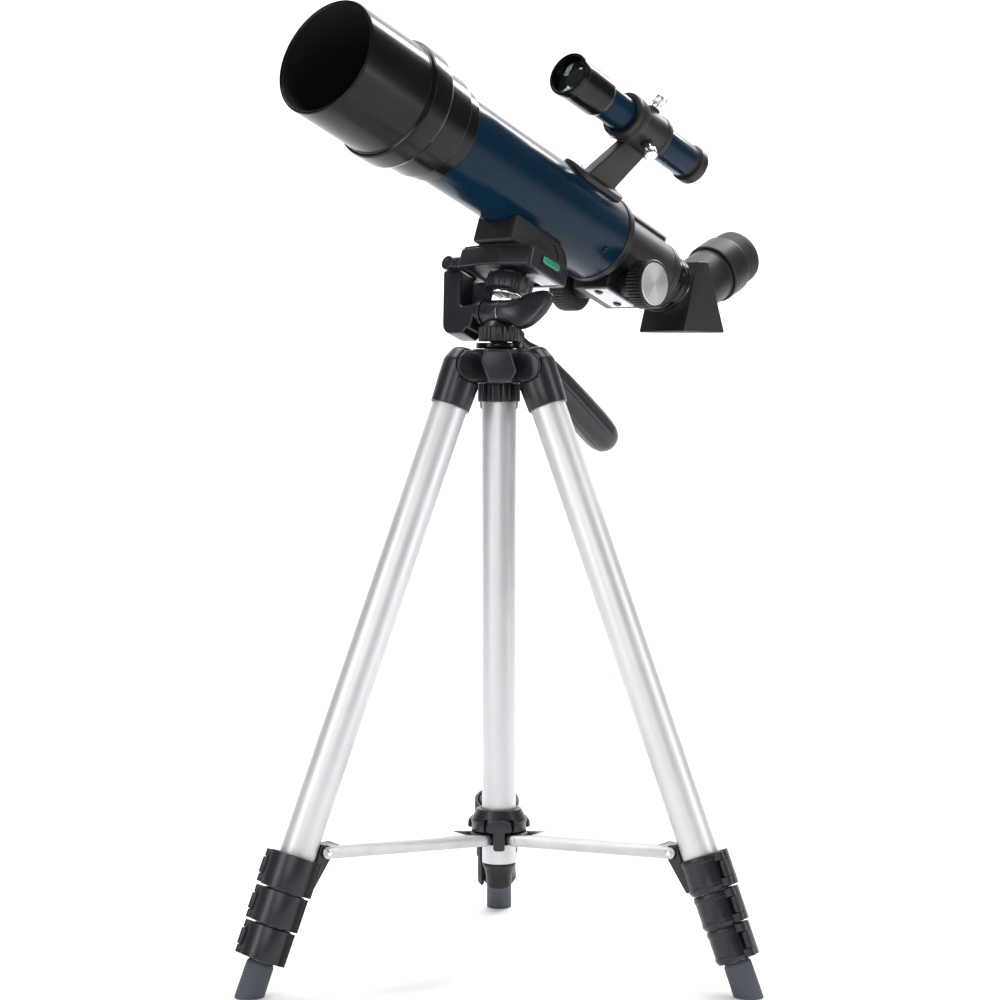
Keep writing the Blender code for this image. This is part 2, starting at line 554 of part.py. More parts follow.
def make_tube():
    """Objective end, main tube and the foot that carries them."""
    shield = [(30.9, 98.3), (32.3, 98.0), (32.7, 99.0), (32.7, 146.4), (32.3, 146.9), (31.3, 146.9), (30.9, 146.4)]
    shield = [(30.9, 90.5), (30.9, 146.4), (31.3, 146.9), (32.3, 146.9), (32.7, 146.4), (32.7, 98.2), (34.8, 97.2)]
    shield += [(34.8, 83.4), (34.2, 82.6), (31.2, 82.6), (31.2, 90.5)]
    place(along_x(lathe(shield[:-1] + [(31.2, 90.0), (30.9, 90.2)], 32)), "dew_shield", "gloss_black", TUBE,
          (98.0, 0.0, 0.0))
    body = [(25.3, -90.0), (26.5, -90.0), (26.5, 52.0), (28.4, 52.6), (28.4, 61.4), (30.6, 62.4), (30.6, 88.0)]
    body += [(27.6, 88.0), (27.6, 64.0), (25.3, 60.0)]
    place(along_x(lathe(body, 32)), "main_tube", "tube_blue", TUBE, (-20.0, 0.0, 0.0))
    lens = [(0.0, 75.0), (20.0, 76.4), (26.0, 78.0), (27.2, 78.6), (27.2, 84.0), (26.0, 84.6), (20.0, 86.4), (0.0, 88.4)]
    place(along_x(lathe(lens, 28)), "objective_lens", "glass", TUBE, (82.0, 0.0, 0.0))

    foot_side = [(20.5, 35.3), (-28.4, 35.3), (-31.4, 38.0), (-31.4, 41.6), (-27.7, 47.4), (-11.6, 58.0), (14.0, 58.0)]
    foot_side += [(20.5, 50.0)]
    foot = side_prism(foot_side, -14.5, 14.5)
    foot = moved(foot, Matrix.Translation((-27.4, 0.0, -73.4 - 4.95)) @ Matrix.Translation((0.0, 0.0, 4.95)))
    cut(foot, along_x(rod(26.8, -150.0, 150.0, 32)))
    cut(foot, moved(rod(3.3, -60.0, -30.0, 14), Matrix.Translation((-29.4, 1.0, 0.0))))
    place(foot, "mounting_foot", "satin_black", TUBE, (-29.4, 1.0, -38.4))

    housing = [(18.3, -152.0), (20.6, -152.0), (21.2, -151.0), (21.2, -99.0), (26.9, -94.5), (26.9, -90.3),
               (24.8, -90.3), (24.8, -84.0), (22.0, -84.0), (22.0, -97.0), (18.3, -99.0)]
    body = along_x(lathe(housing, 28))
    gear_case = block((-132.0, -98.0), (-13.0, 13.0), (-29.5, -14.0), 1.0)
    cut(gear_case, along_x(rod(20.0, -160.0, -80.0, 28)))
    top_rail = block((-146.0, -100.0), (-9.0, 9.0), (15.0, 23.0), 0.6)
    cut(top_rail, along_x(rod(20.0, -160.0, -80.0, 28)))
    join(body, gear_case, top_rail)
    cut(body, along_y(rod(7.2, -40.0, 40.0, 16), (PINION_U, 0.0, PINION_W)))
    place(body, "focuser_housing", "satin_black", TUBE, (-90.0, 0.0, 0.0))


def make_focuser():
    """Draw tube, rack and pinion knobs."""
    draw = [(16.3, -166.0), (18.0, -166.0), (18.6, -165.2), (18.6, -159.0), (17.9, -158.2), (17.9, -96.0), (16.3, -96.0)]
    body = along_x(lathe(draw, 28))
    cut(body, block((-158.0, -90.0), (-9.0, 9.0), (-30.0, -14.2)))
    place(body, "draw_tube", "gloss_black", TUBE, (-96.0, 0.0, 0.0))
    knobs = rod(2.0, -24.6, 24.6, 12)
    for sign in (-1.0, 1.0):
        low, high = sorted((sign * 24.0, sign * 35.0))
        join(knobs, ribbed(14.5, 0.6, low, high, 20))
    join(knobs, rod(6.0, -5.0, 5.0, 14))
    place(along_y(knobs, (PINION_U, 0.0, PINION_W)), "focus_knobs", "satin_black", TUBE, (PINION_U, 0.0, PINION_W))


def make_diagonal():
    """Erecting prism housing and the eyepiece in its collar."""
    foot_x, foot_z = EYEPIECE_FOOT
    rise = math.radians(EYEPIECE_RISE)
    outline = [(-150.3, 362.0), (-165.4, 405.2), (-175.9, 405.2), (-193.1, 362.0)]
    body = side_prism(outline, -17.2, 17.2)
    to_eye = Matrix.Translation((foot_x, 0.0, foot_z)) @ Matrix.Rotation(-math.pi / 2 + rise, 4, "Y")
    join(body, moved(rod(17.0, 8.0, 33.0, 28, 0.5), to_eye))
    join(body, moved(rod(15.8, 150.0, 172.5, 24), UPRIGHT.inverted() @ TUBE @ Matrix.Rotation(-math.pi / 2, 4, "Y")))
    cut(body, moved(rod(16.0, 12.0, 40.0, 24), to_eye), moved(rod(13.0, 0.0, 14.0, 20), to_eye))
    cut(body, moved(rod(14.2, 140.0, 178.0, 20), UPRIGHT.inverted() @ TUBE @ Matrix.Rotation(-math.pi / 2, 4, "Y")))
    pivot = UPRIGHT.inverted() @ TUBE @ Vector((-166.0, 0.0, 0.0))
    place(body, "diagonal_housing", "satin_black", UPRIGHT, tuple(pivot))
    eye = [(0.0, 13.0), (15.7, 13.0), (15.7, 33.4), (18.3, 33.4), (18.8, 34.2), (18.8, 49.4), (18.3, 50.0), (17.3, 50.6),
           (17.3, 61.2), (16.8, 63.6), (15.9, 64.7), (12.0, 64.7), (8.0, 61.0), (0.0, 60.4)]
    place(moved(lathe(eye, 28), to_eye), "eyepiece", "satin_black", UPRIGHT, tuple(to_eye @ Vector((0.0, 0.0, 33.4))))


def make_finder():
    """Small aiming telescope held in a ring by three screws."""
    turn = math.radians(FINDER_ANGLE)
    radial = Vector((0.0, math.sin(turn), math.cos(turn)))
    across = radial.cross(Vector((1.0, 0.0, 0.0)))
    local = Matrix(((1, 0, 0, 0), (0, across.y, radial.y, 0), (0, across.z, radial.z, 0), (0, 0, 0, 1)))
    frame = TUBE @ Matrix.Translation(radial * FINDER_DISTANCE) @ local
    tube = [(11.4, -2.8), (12.6, -2.8), (13.0, -3.4), (13.0, -7.0), (12.4, -8.0), (12.2, -32.0), (10.3, -34.0)]
    tube += [(10.3, -118.0), (0.0, -118.0), (0.0, -8.6), (11.0, -8.0)]
    place(along_x(lathe(tube, 24)), "finder_tube", "gloss_black", frame, (FINDER_SCREW_U, 0.0, 0.0))
    eye = [(0.0, -118.3), (9.2, -118.3), (9.2, -121.6), (11.3, -122.2), (11.5, -123.0), (11.5, -127.8), (10.9, -128.6),
           (7.0, -128.6), (5.0, -126.4), (0.0, -126.0)]
    place(along_x(lathe(eye, 24)), "finder_eyepiece", "satin_black", frame, (-118.3, 0.0, 0.0))

    ring = [(10.7, -89.0), (12.6, -89.0), (12.9, -88.2), (12.9, -62.0), (13.9, -61.0), (13.9, -56.0), (13.4, -55.0),
            (10.7, -55.0)]
    holder = along_x(lathe(ring, 24))
    stalk = side_prism([(-52.0, -36.5), (-82.0, -36.5), (-86.0, -12.4), (-62.0, -12.4)], -3.0, 3.0)
    saddle = block((-88.0, -40.0), (-17.0, 17.0), (-48.0, -36.0), 1.0)
    cut(saddle, along_x(rod(26.8, -150.0, 150.0, 32), (0.0, 0.0, -FINDER_DISTANCE)))
    join(holder, stalk, saddle)
    cut(holder, along_x(rod(10.7, -100.0, -40.0, 24)))
    for angle in (0.0, 120.0, 240.0):
        cut(holder, turned(turned(rod(2.2, 9.0, 20.0, 12), "Z", 0.0, (FINDER_SCREW_U, 0.0, 0.0)), "X", -angle))
    place(holder, "finder_bracket", "satin_black", frame, (FINDER_SCREW_U, 0.0, -40.0))
    for index, angle in enumerate((0.0, 120.0, 240.0), 1):
        screw = ribbed(4.0, 0.4, 16.2, 22.0, 12)
        join(screw, rod(1.8, 10.7, 17.0, 12), rod(2.8, 14.0, 16.6, 12))
        screw = turned(turned(screw, "Z", 0.0, (FINDER_SCREW_U, 0.0, 0.0)), "X", -angle)
        pivot = Matrix.Rotation(math.radians(-angle), 4, "X") @ Vector((FINDER_SCREW_U, 0.0, 14.0))
        place(screw, f"finder_screw_{index}", "chrome", frame, tuple(pivot))


def main():
    for leftover in list(bpy.data.objects):
        bpy.data.objects.remove(leftover, do_unlink=True)
    for index, azimuth in LEG_AZIMUTHS.items():
        make_leg(index, azimuth)
    make_centre()
    make_brace()
    make_head()
    make_tube()
    make_focuser()
    make_diagonal()
    make_finder()


main()
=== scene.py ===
"""Looks of the telescope on its tripod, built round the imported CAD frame.

Each group of pieces is modelled in millimetres in its own local axes (a leg, the head, the tube, the
finder, the eyepiece). The axes come from the joints and boxes of the frame.
"""

import json
import math

import bmesh
import bpy
from mathutils import Matrix, Vector


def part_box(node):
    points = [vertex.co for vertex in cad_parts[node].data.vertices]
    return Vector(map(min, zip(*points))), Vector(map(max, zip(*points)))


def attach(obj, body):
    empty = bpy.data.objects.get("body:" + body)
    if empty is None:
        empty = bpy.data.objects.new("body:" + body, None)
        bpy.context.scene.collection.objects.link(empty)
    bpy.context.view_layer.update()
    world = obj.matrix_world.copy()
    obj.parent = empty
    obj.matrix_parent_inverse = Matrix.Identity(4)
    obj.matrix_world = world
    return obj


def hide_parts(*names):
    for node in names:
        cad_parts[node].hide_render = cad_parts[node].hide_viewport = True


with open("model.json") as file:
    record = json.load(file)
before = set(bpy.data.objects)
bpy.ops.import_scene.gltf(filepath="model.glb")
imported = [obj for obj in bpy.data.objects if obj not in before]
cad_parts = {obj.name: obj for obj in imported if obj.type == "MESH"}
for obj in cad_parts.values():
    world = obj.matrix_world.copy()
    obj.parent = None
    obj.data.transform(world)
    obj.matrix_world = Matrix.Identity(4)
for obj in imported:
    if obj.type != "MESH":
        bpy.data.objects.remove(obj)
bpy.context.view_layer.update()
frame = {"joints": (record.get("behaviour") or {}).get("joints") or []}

JOINTS = {joint["name"]: joint for joint in frame["joints"]}
LEGS = (1, 2, 3)
MM = 0.001
# Places and radii in millimetres, each in the local axes of the pieces that use it.
COLUMN_BORE = 9.85
LOCK_HEIGHT = 340.3
HUB_PIN = (13.0, 72.7)
HINGE_AT = (0, -36.2, 26.2)
SCREW_AT = (-2.0, 1.0)
PINION_AT = (-114.0, 0, -21.6)
TUBE_BED = 26.7


# ---- local axes from the frame


def axes(x_axis, y_axis, z_axis, origin):
    """Matrix from millimetres in local axes to metres in the row frame."""
    matrix = Matrix.Identity(4)
    for column, axis in enumerate((x_axis, y_axis, z_axis)):
        for row in range(3):
            matrix[row][column] = axis[row]
    matrix.translation = origin
    return matrix


def joint_axis(name):
    return Vector(JOINTS[name]["axis"]).normalized()


def joint_point(name):
    return Vector(JOINTS[name]["pos_m"])


UP = Vector((0.0, 0.0, 1.0))
column_low, column_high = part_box("column")
CENTRE = (column_low + column_high) / 2
CENTRE.z = 0.0
LEG_PIVOT_S = 364.94


def leg_axes(index):
    """Leg axes: X outward, Y sideways, Z up along the leg from its foot."""
    side = joint_axis(f"leg_{index}_fold")
    along = -joint_axis(f"leg_{index}_slide_2")
    origin = joint_point(f"leg_{index}_fold") - along * LEG_PIVOT_S * MM
    return axes(side.cross(along), side, along, origin)


def radial_axes(index):
    """Upright axes at the column with X towards one leg."""
    side = joint_axis(f"leg_{index}_fold")
    return axes(side.cross(UP), side, UP, CENTRE)


U = joint_axis("platform_flip")
N = joint_axis("tilt_turn")
W = U.cross(N)
TILT_POINT = joint_point("tilt_turn") + N * 9.5 * MM
TUBE_POINT = joint_point("diagonal_turn") + U * 166.0 * MM
TRIPOD = axes((1, 0, 0), (0, 1, 0), UP, CENTRE)
HEAD = axes(U, N, W, TILT_POINT)
TUBE = axes(U, N, W, TUBE_POINT)
GROUND = Vector((U.x, U.y, 0.0)).normalized()
UPRIGHT = axes(GROUND, N, UP, CENTRE)
EYE_AXIS = joint_axis("eyepiece_slide")
EYE_FOOT = UPRIGHT @ Vector((-171.2 * MM, 0.0, 384.9 * MM))
EYE = axes(N.cross(EYE_AXIS), N, EYE_AXIS, EYE_FOOT)
FINDER_POINT = joint_point("finder_eyepiece_turn") + U * 118.3 * MM
FINDER_OUT = (FINDER_POINT - TUBE_POINT).normalized()
FINDER = axes(U, FINDER_OUT.cross(U), FINDER_OUT, FINDER_POINT)
HANDLE_AXIS = joint_axis("pan_handle_turn")
HANDLE_SIDE = HANDLE_AXIS.cross(UP).normalized()
HANDLE = axes(HANDLE_SIDE, HANDLE_AXIS.cross(HANDLE_SIDE), HANDLE_AXIS, joint_point("pan_handle_turn"))


# ---- materials


class Nodes:
    """Small helper that adds shader nodes and links them."""

    def __init__(self, name):
        self.material = bpy.data.materials.new(name)
        self.material.use_nodes = True
        self.tree = self.material.node_tree
        self.shader = self.tree.nodes["Principled BSDF"]
        self.place = self.add("ShaderNodeTexCoord").outputs["Object"]

    def add(self, kind, **values):
        node = self.tree.nodes.new(kind)
        for key, value in values.items():
            if hasattr(node, key):
                setattr(node, key, value)
            else:
                node.inputs[key.replace("_", " ")].default_value = value
        return node

    def link(self, output, target):
        self.tree.links.new(output, target)

    def noise(self, scale, stretch=(1.0, 1.0, 1.0), detail=4.0):
        """Noise in object space, stretched along local axes."""
        mapping = self.add("ShaderNodeMapping")
        mapping.inputs["Scale"].default_value = stretch
        self.link(self.place, mapping.inputs["Vector"])
        made = self.add("ShaderNodeTexNoise", Scale=scale, Detail=detail, Roughness=0.6)
        self.link(mapping.outputs["Vector"], made.inputs["Vector"])
        return made.outputs["Fac"]

    def spread(self, value, low, high):
        """Maps a noise value to a range."""
        mapped = self.add("ShaderNodeMapRange")
        mapped.inputs["From Min"].default_value = 0.3
        mapped.inputs["From Max"].default_value = 0.7
        mapped.inputs["To Min"].default_value = low
        mapped.inputs["To Max"].default_value = high
        self.link(value, mapped.inputs["Value"])
        return mapped.outputs["Result"]

    def tint(self, value, first, second):
        """Colour between two shades by a value."""
        mixed = self.add("ShaderNodeMix", data_type="RGBA")
        mixed.inputs[6].default_value = (*first, 1.0)
        mixed.inputs[7].default_value = (*second, 1.0)
        self.link(value, mixed.inputs[0])
        return mixed.outputs[2]

    def bump(self, height, strength, distance):
        made = self.add("ShaderNodeBump", Strength=strength, Distance=distance)
        self.link(height, made.inputs["Height"])
        self.link(made.outputs["Normal"], self.shader.inputs["Normal"])

    def set(self, **values):
        for key, value in values.items():
            self.shader.inputs[key.replace("_", " ")].default_value = value


def surface(name, dark, light, rough, metallic=0.0, grain=900.0, depth=0.02, stretch=(1, 1, 1), patch=25.0,
        coat=0.0, specular=0.5):
    """Surface with slow colour and gloss drift and a fine grain."""
    made = Nodes(name)
    drift = made.noise(patch, detail=5.0)
    fine = made.noise(grain, stretch, detail=3.0)
    made.link(made.tint(made.spread(drift, 0.0, 1.0), dark, light), made.shader.inputs["Base Color"])
    mixed = made.add("ShaderNodeMix")
    mixed.inputs[0].default_value = 0.5
    made.link(drift, mixed.inputs[2])
    made.link(fine, mixed.inputs[3])
    made.link(made.spread(mixed.outputs[0], rough[0], rough[1]), made.shader.inputs["Roughness"])
    made.bump(fine, depth, 0.0002)
    made.set(Metallic=metallic, Coat_Weight=coat, Coat_Roughness=0.04, Specular_IOR_Level=specular)
    return made.material


def spun_metal():
    """Turned aluminium face whose shine fans out from its centre."""
    made = surface("spun_aluminium", (0.78, 0.79, 0.80), (0.86, 0.87, 0.88), (0.33, 0.36), 1.0, 900.0, 0.001)
    tree = made.node_tree
    shader = tree.nodes["Principled BSDF"]
    tangent = tree.nodes.new("ShaderNodeTangent")
    tangent.direction_type = "RADIAL"
    tangent.axis = "Z"
    tree.links.new(tangent.outputs["Tangent"], shader.inputs["Tangent"])
    shader.inputs["Anisotropic"].default_value = 0.8
    return made


def lens_glass():
    """Coated glass with a faint green reflection."""
    made = Nodes("coated_glass")
    drift = made.noise(20.0)
    made.link(made.tint(made.spread(drift, 0.0, 1.0), (0.82, 0.90, 0.87), (0.86, 0.92, 0.90)),
        made.shader.inputs["Base Color"])
    made.link(made.spread(made.noise(150.0), 0.0, 0.02), made.shader.inputs["Roughness"])
    made.set(Transmission_Weight=1.0, IOR=1.5, Coat_Weight=0.15, Coat_Tint=(0.6, 0.9, 0.75, 1.0))
    return made.material


LOOKS = {
    "silver_anodised": surface(
        "anodised_aluminium", (0.62, 0.625, 0.64), (0.67, 0.675, 0.69), (0.42, 0.54), metallic=0.75,
        grain=260.0, depth=0.03, stretch=(6.0, 6.0, 0.15), patch=30.0),
    "charcoal_plastic": surface(
        "charcoal_plastic", (0.0075, 0.0085, 0.012), (0.0115, 0.013, 0.0175), (0.26, 0.38),
        grain=2200.0, depth=0.10, specular=0.45),
    "foot_rubber": surface(
        "foot_rubber", (0.046, 0.054, 0.068), (0.058, 0.067, 0.082), (0.55, 0.78),
        grain=1400.0, depth=0.25),
    "strut_metal": surface(
        "strut_metal", (0.50, 0.50, 0.51), (0.62, 0.62, 0.63), (0.34, 0.50), metallic=1.0,
        grain=300.0, depth=0.04, stretch=(0.2, 5.0, 5.0), patch=60.0),
    "tube_blue": surface(
        "tube_blue_paint", (0.0010, 0.0135, 0.0300), (0.0018, 0.0165, 0.0365), (0.17, 0.24),
        grain=500.0, depth=0.004, specular=0.12),
    "gloss_black": surface(
        "gloss_black", (0.0025, 0.0025, 0.003), (0.0042, 0.0042, 0.0047), (0.14, 0.20),
        grain=900.0, depth=0.006, specular=0.24),
    "satin_black": surface(
        "satin_black", (0.0065, 0.0065, 0.0075), (0.011, 0.011, 0.012), (0.36, 0.52),
        grain=2000.0, depth=0.12, specular=0.35),
    "chrome": surface(
        "chrome", (0.70, 0.70, 0.71), (0.80, 0.80, 0.81), (0.08, 0.18), metallic=1.0,
        grain=500.0, depth=0.02),
    "inside_black": surface(
        "inside_black", (0.0045, 0.0045, 0.005), (0.008, 0.008, 0.0085), (0.70, 0.85),
        grain=1500.0, depth=0.3, specular=0.25),
    "grip_rubber": surface(
        "grip_rubber", (0.008, 0.008, 0.009), (0.014, 0.014, 0.015), (0.55, 0.72),
        grain=1800.0, depth=0.25, specular=0.35),
    # Pale grey look: the focuser's real cover plate, and also the painted highlight on the focuser rail and
    # the painted reflection under the platform.
    "light_plate": surface(
        "light_plate", (0.58, 0.57, 0.62), (0.66, 0.65, 0.70), (0.34, 0.46), metallic=0.3,
        grain=900.0, depth=0.04),
    "bubble_green": surface(
        "bubble_green", (0.01, 0.20, 0.10), (0.02, 0.30, 0.15), (0.08, 0.14),
        grain=300.0, depth=0.01, coat=1.0),
    "spun_aluminium": spun_metal(),
    "glass": lens_glass(),
}
DRAWN_LOOKS = ("silver_anodised", "strut_metal", "spun_aluminium")  # these follow their piece's own axes


# ---- shapes


def made_from(bm):
    bmesh.ops.recalc_face_normals(bm, faces=bm.faces)
    mesh = bpy.data.meshes.new("shape")
    bm.to_mesh(mesh)
    bm.free()
    shape = bpy.data.objects.new("shape", mesh)
    bpy.context.scene.collection.objects.link(shape)
    return shape


def rounded(points, radius=0.5, steps=4, closed=True):
    """Outline with each corner rounded; a point's third value is its own radius."""
    count = len(points)
    result = []
    for i, point in enumerate(points):
        here = Vector(point[:2])
        size = point[2] if len(point) > 2 else radius
        before = Vector(points[i - 1][:2]) - here
        after = Vector(points[(i + 1) % count][:2]) - here
        ends = not closed and i in (0, count - 1)
        if size < 1e-6 or ends or before.length < 1e-6 or after.length < 1e-6:
            result.append(tuple(here))
            continue
        angle = before.angle(after)
        if angle > math.radians(176):
            result.append(tuple(here))
            continue
        reach = min(size / math.tan(angle / 2), before.length * 0.48, after.length * 0.48)
        size = reach * math.tan(angle / 2)
        middle = here + (before.normalized() + after.normalized()).normalized() * size / math.sin(angle / 2)
        first = here + before.normalized() * reach - middle
        last = here + after.normalized() * reach - middle
        sweep = first.angle_signed(last)
        for k in range(steps + 1):
            result.append(tuple(middle + Matrix.Rotation(-sweep * k / steps, 2) @ first))
    return result


def loop_body(rings, closed=False):
    """Body through rings of equal count, capped at both ends, or joined end to end if closed."""
    bm = bmesh.new()
    loops = [[bm.verts.new(p) for p in ring] for ring in rings]
    pairs = list(zip(loops, loops[1:]))
    if closed:
        pairs.append((loops[-1], loops[0]))
    else:
        bm.faces.new(loops[0][::-1])
        bm.faces.new(loops[-1])
    for low, high in pairs:
        for i in range(len(low)):
            j = (i + 1) % len(low)
            bm.faces.new((low[i], low[j], high[j], high[i]))
    return made_from(bm)


def lathe(profile, radius=0.4, segments=96, steps=3):
    """Body of revolution about local Z from (radius, height) points, corners rounded."""
    outline = rounded([(r, z, 0.0) if r < 1e-6 else (r, z, *rest) for r, z, *rest in profile], radius, steps)
    bm = bmesh.new()
    rings = []
    for r, z in outline:
        if r < 1e-6:
            rings.append([bm.verts.new((0.0, 0.0, z))])
            continue
        turns = [2 * math.pi * i / segments for i in range(segments)]
        rings.append([bm.verts.new((r * math.cos(t), r * math.sin(t), z)) for t in turns])
    for low, high in zip(rings, rings[1:] + rings[:1]):
        if len(low) == len(high) == 1:
            continue
        for i in range(segments):
            j = (i + 1) % segments
            corners = [low[i % len(low)], low[j % len(low)], high[j % len(high)], high[i % len(high)]]
            bm.faces.new(list(dict.fromkeys(corners)))
    return made_from(bm)


def rod(radius, low, high, edge=0.4, segments=64):
    return lathe([(0, low), (radius, low), (radius, high), (0, high)], edge, segments)


def pipe(outer, inner, low, high, edge=0.2, segments=96):
    return lathe([(inner, low), (outer, low), (outer, high), (inner, high)], edge, segments)


def inset_by(points, distance):
    """Counter-clockwise outline moved inwards, its own corner radii following."""
    made = []
    for i, point in enumerate(points):
        here = Vector(point[:2])
        before = (here - Vector(points[i - 1][:2])).normalized()
        after = (Vector(points[(i + 1) % len(points)][:2]) - here).normalized()
        first, second = Vector((-before.y, before.x)), Vector((-after.y, after.x))
        here = here + (first + second) / max(1.0 + first.dot(second), 0.25) * distance
        radius = point[2]
        if radius > 0:
            convex = before.x * after.y - before.y * after.x > 0
            radius = max(radius - distance, 0.05) if convex else radius + distance
        made.append((here.x, here.y, radius))
    return made


def prism(points, low, high, edge=0.5, radius=0.0, steps=5):
    """Outline in local XY drawn along Z, with rounded corners and rounded rims."""
    points = [(x, y, own[0] if own else radius) for x, y, *own in points]
    area = sum(a[0] * b[1] - b[0] * a[1] for a, b in zip(points, points[1:] + points[:1]))
    if area < 0:
        points = points[::-1]
    levels = [(0.0, 0.0)]
    if edge > 0:
        turns = [math.pi / 2 * k / 4 for k in range(5)]
        levels = [(edge * (1 - math.sin(t)), edge * (1 - math.cos(t))) for t in turns]
    rings = []
    for inset, z in [(i, low + r) for i, r in levels] + [(i, high - r) for i, r in reversed(levels)]:
        rings.append([(x, y, z) for x, y in rounded(inset_by(points, inset), 0.0, steps)])
    return loop_body(rings)


def arc(radius, start, end, steps=16, centre=(0.0, 0.0)):
    turns = [math.radians(start + (end - start) * i / steps) for i in range(steps + 1)]
    return [(centre[0] + radius * math.cos(t), centre[1] + radius * math.sin(t)) for t in turns]


def block(x_range, y_range, z_range, edge=0.6, steps=3):
    """Box with all its edges rounded."""
    bm = bmesh.new()
    bmesh.ops.create_cube(bm, size=1.0)
    spans = (x_range, y_range, z_range)
    bmesh.ops.scale(bm, vec=[high - low for low, high in spans], verts=bm.verts)
    bmesh.ops.translate(bm, vec=[(low + high) / 2 for low, high in spans], verts=bm.verts)
    if edge:
        bmesh.ops.bevel(bm, geom=bm.edges[:], offset=edge, segments=steps, profile=0.5, affect="EDGES")
    return made_from(bm)


def ribbed(radius, depth, low, high, ribs, inner=0.0, edge=0.6, share=0.5):
    """Ring or knob about local Z with rounded ribs round it."""
    per_rib = max(8, 2 * (96 // ribs))
    count = ribs * per_rib
    shape = []
    for i in range(count):
        wave = math.cos(2 * math.pi * i / per_rib) + (share - 0.5) * 2
        shape.append(radius - depth * (0.5 - 0.5 * math.tanh(2.2 * wave) / math.tanh(2.2)))
    rings = []
    for inset, z in ((edge, low), (edge * 0.3, low + edge * 0.3), (0.0, low + edge), (0.0, high - edge),
            (edge * 0.3, high - edge * 0.3), (edge, high)):
        ring = []
        for i, r in enumerate(shape):
            turn = 2 * math.pi * i / count
            ring.append(((r - inset) * math.cos(turn), (r - inset) * math.sin(turn), z))
        rings.append(ring)
    if inner:
        for z in (high, low):
            turns = [2 * math.pi * i / count for i in range(count)]
            rings.append([(inner * math.cos(t), inner * math.sin(t), z) for t in turns])
        return loop_body(rings, closed=True)
    return loop_body(rings)


def moved(shape, matrix):
    shape.data.transform(matrix)
    return shape


def shifted(shape, x=0.0, y=0.0, z=0.0):
    return moved(shape, Matrix.Translation((x, y, z)))


def turned(shape, axis, degrees):
    return moved(shape, Matrix.Rotation(math.radians(degrees), 4, axis))


def along_x(shape, x=0.0, y=0.0, z=0.0):
    """Drawn along Z, laid along +X."""
    return shifted(turned(shape, "Y", 90.0), x, y, z)


def along_y(shape, x=0.0, y=0.0, z=0.0):
    """Drawn along Z, laid along +Y."""
    return shifted(turned(shape, "X", -90.0), x, y, z)


def side_prism(points, low, high, edge=0.5, radius=0.0, steps=5):
    """Outline in local XZ drawn along Y."""
    return turned(prism([(x, -z, *own) for x, z, *own in points], low, high, edge, radius, steps), "X", -90.0)


def front_prism(points, low, high, edge=0.5, radius=0.0, steps=5):
    """Outline in local YZ drawn along X."""
    cycle = Matrix(((0, 0, 1, 0), (1, 0, 0, 0), (0, 1, 0, 0), (0, 0, 0, 1)))
    return moved(prism(points, low, high, edge, radius, steps), cycle)


def evaluated(shape):
    graph = bpy.context.evaluated_depsgraph_get()
    mesh = bpy.data.meshes.new_from_object(shape.evaluated_get(graph))
    shape.modifiers.clear()
    shape.data = mesh
    bm = bmesh.new()
    bm.from_mesh(mesh)
    bmesh.ops.remove_doubles(bm, verts=bm.verts, dist=0.003)
    bmesh.ops.dissolve_degenerate(bm, dist=0.002, edges=bm.edges)
    bm.to_mesh(mesh)
    bm.free()
    return shape


def boolean(base, tools, operation):
    for tool in tools:
        modifier = base.modifiers.new("Boolean", "BOOLEAN")
        modifier.operation = operation
        modifier.solver = "EXACT"
        modifier.object = tool
        evaluated(base)
        bpy.data.objects.remove(tool, do_unlink=True)
    return base


def join(base, *tools):
    return boolean(base, tools, "UNION")


def cut(base, *tools):
    return boolean(base, tools, "DIFFERENCE")


def softened(shape, width=0.4, segments=2, angle=38.0):
    """Rounds the sharp edges left by cuts and joins."""
    modifier = shape.modifiers.new("Bevel", "BEVEL")
    modifier.width = width
    modifier.segments = segments
    modifier.limit_method = "ANGLE"
    modifier.angle_limit = math.radians(angle)
    modifier.use_clamp_overlap = True
    return evaluated(shape)


def show(shape, name, local, body, slot, look=None, nodes=(), smooth=32.0):
    """Puts a finished piece on its body with its material (the look, else the slot's name), and hides the CAD
    nodes it stands for.
    """
    shape.data.transform(Matrix.Scale(MM, 4))
    if (look or slot) in DRAWN_LOOKS:
        shape.matrix_world = local
    else:
        shape.data.transform(local)
    shape.name = name
    shape.data.name = name
    shape.data.shade_smooth()
    shape.data.set_sharp_from_angle(angle=math.radians(smooth))
    shape.data.materials.clear()
    shape.data.materials.append(LOOKS[look or slot])
    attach(shape, body)
    if nodes:
        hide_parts(*nodes)
    return shape


def on_tube(shape, name, *looks, **more):
    return show(shape, name, TUBE, "telescope", *looks, **more)


def on_plate(shape, name, *looks, **more):
    return show(shape, name, HEAD, "telescope", *looks, **more)


def on_finder(shape, name, *looks, **more):
    return show(shape, name, FINDER, "telescope", *looks, **more)


def cross_screw(radius, height):
    """Domed screw head standing on Z = 0, with a cross recess."""
    head = lathe([(0, -0.6), (radius, -0.6), (radius, height * 0.45), (radius * 0.72, height, 0.6),
        (0, height)], 0.3, 48)
    arm, reach = radius * 0.13, radius * 0.6
    quarter = [(reach, -arm), (reach, arm), (arm, arm)]
    outline = []
    for turn in range(4):
        outline += [tuple(Matrix.Rotation(math.radians(90 * turn), 2) @ Vector(point)) for point in quarter]
    return cut(head, prism(outline, height * 0.35, height + 2.0, 0.0))


# ---- tripod legs

TUBE_RADII = (10.0, 8.7, 7.4, 6.1)
LEVER_TURN = -20.0
COLLARS = (
    dict(low=59.0, high=79.0, outer=12.6, inner=10.2, lip=8.95, reach=15.2, ring=12.7),
    dict(low=39.4, high=58.6, outer=11.7, inner=8.9, lip=7.65, reach=14.5, ring=11.8),
    dict(low=20.0, high=39.0, outer=10.9, inner=7.6, lip=6.35, reach=13.8, ring=11.0),
)


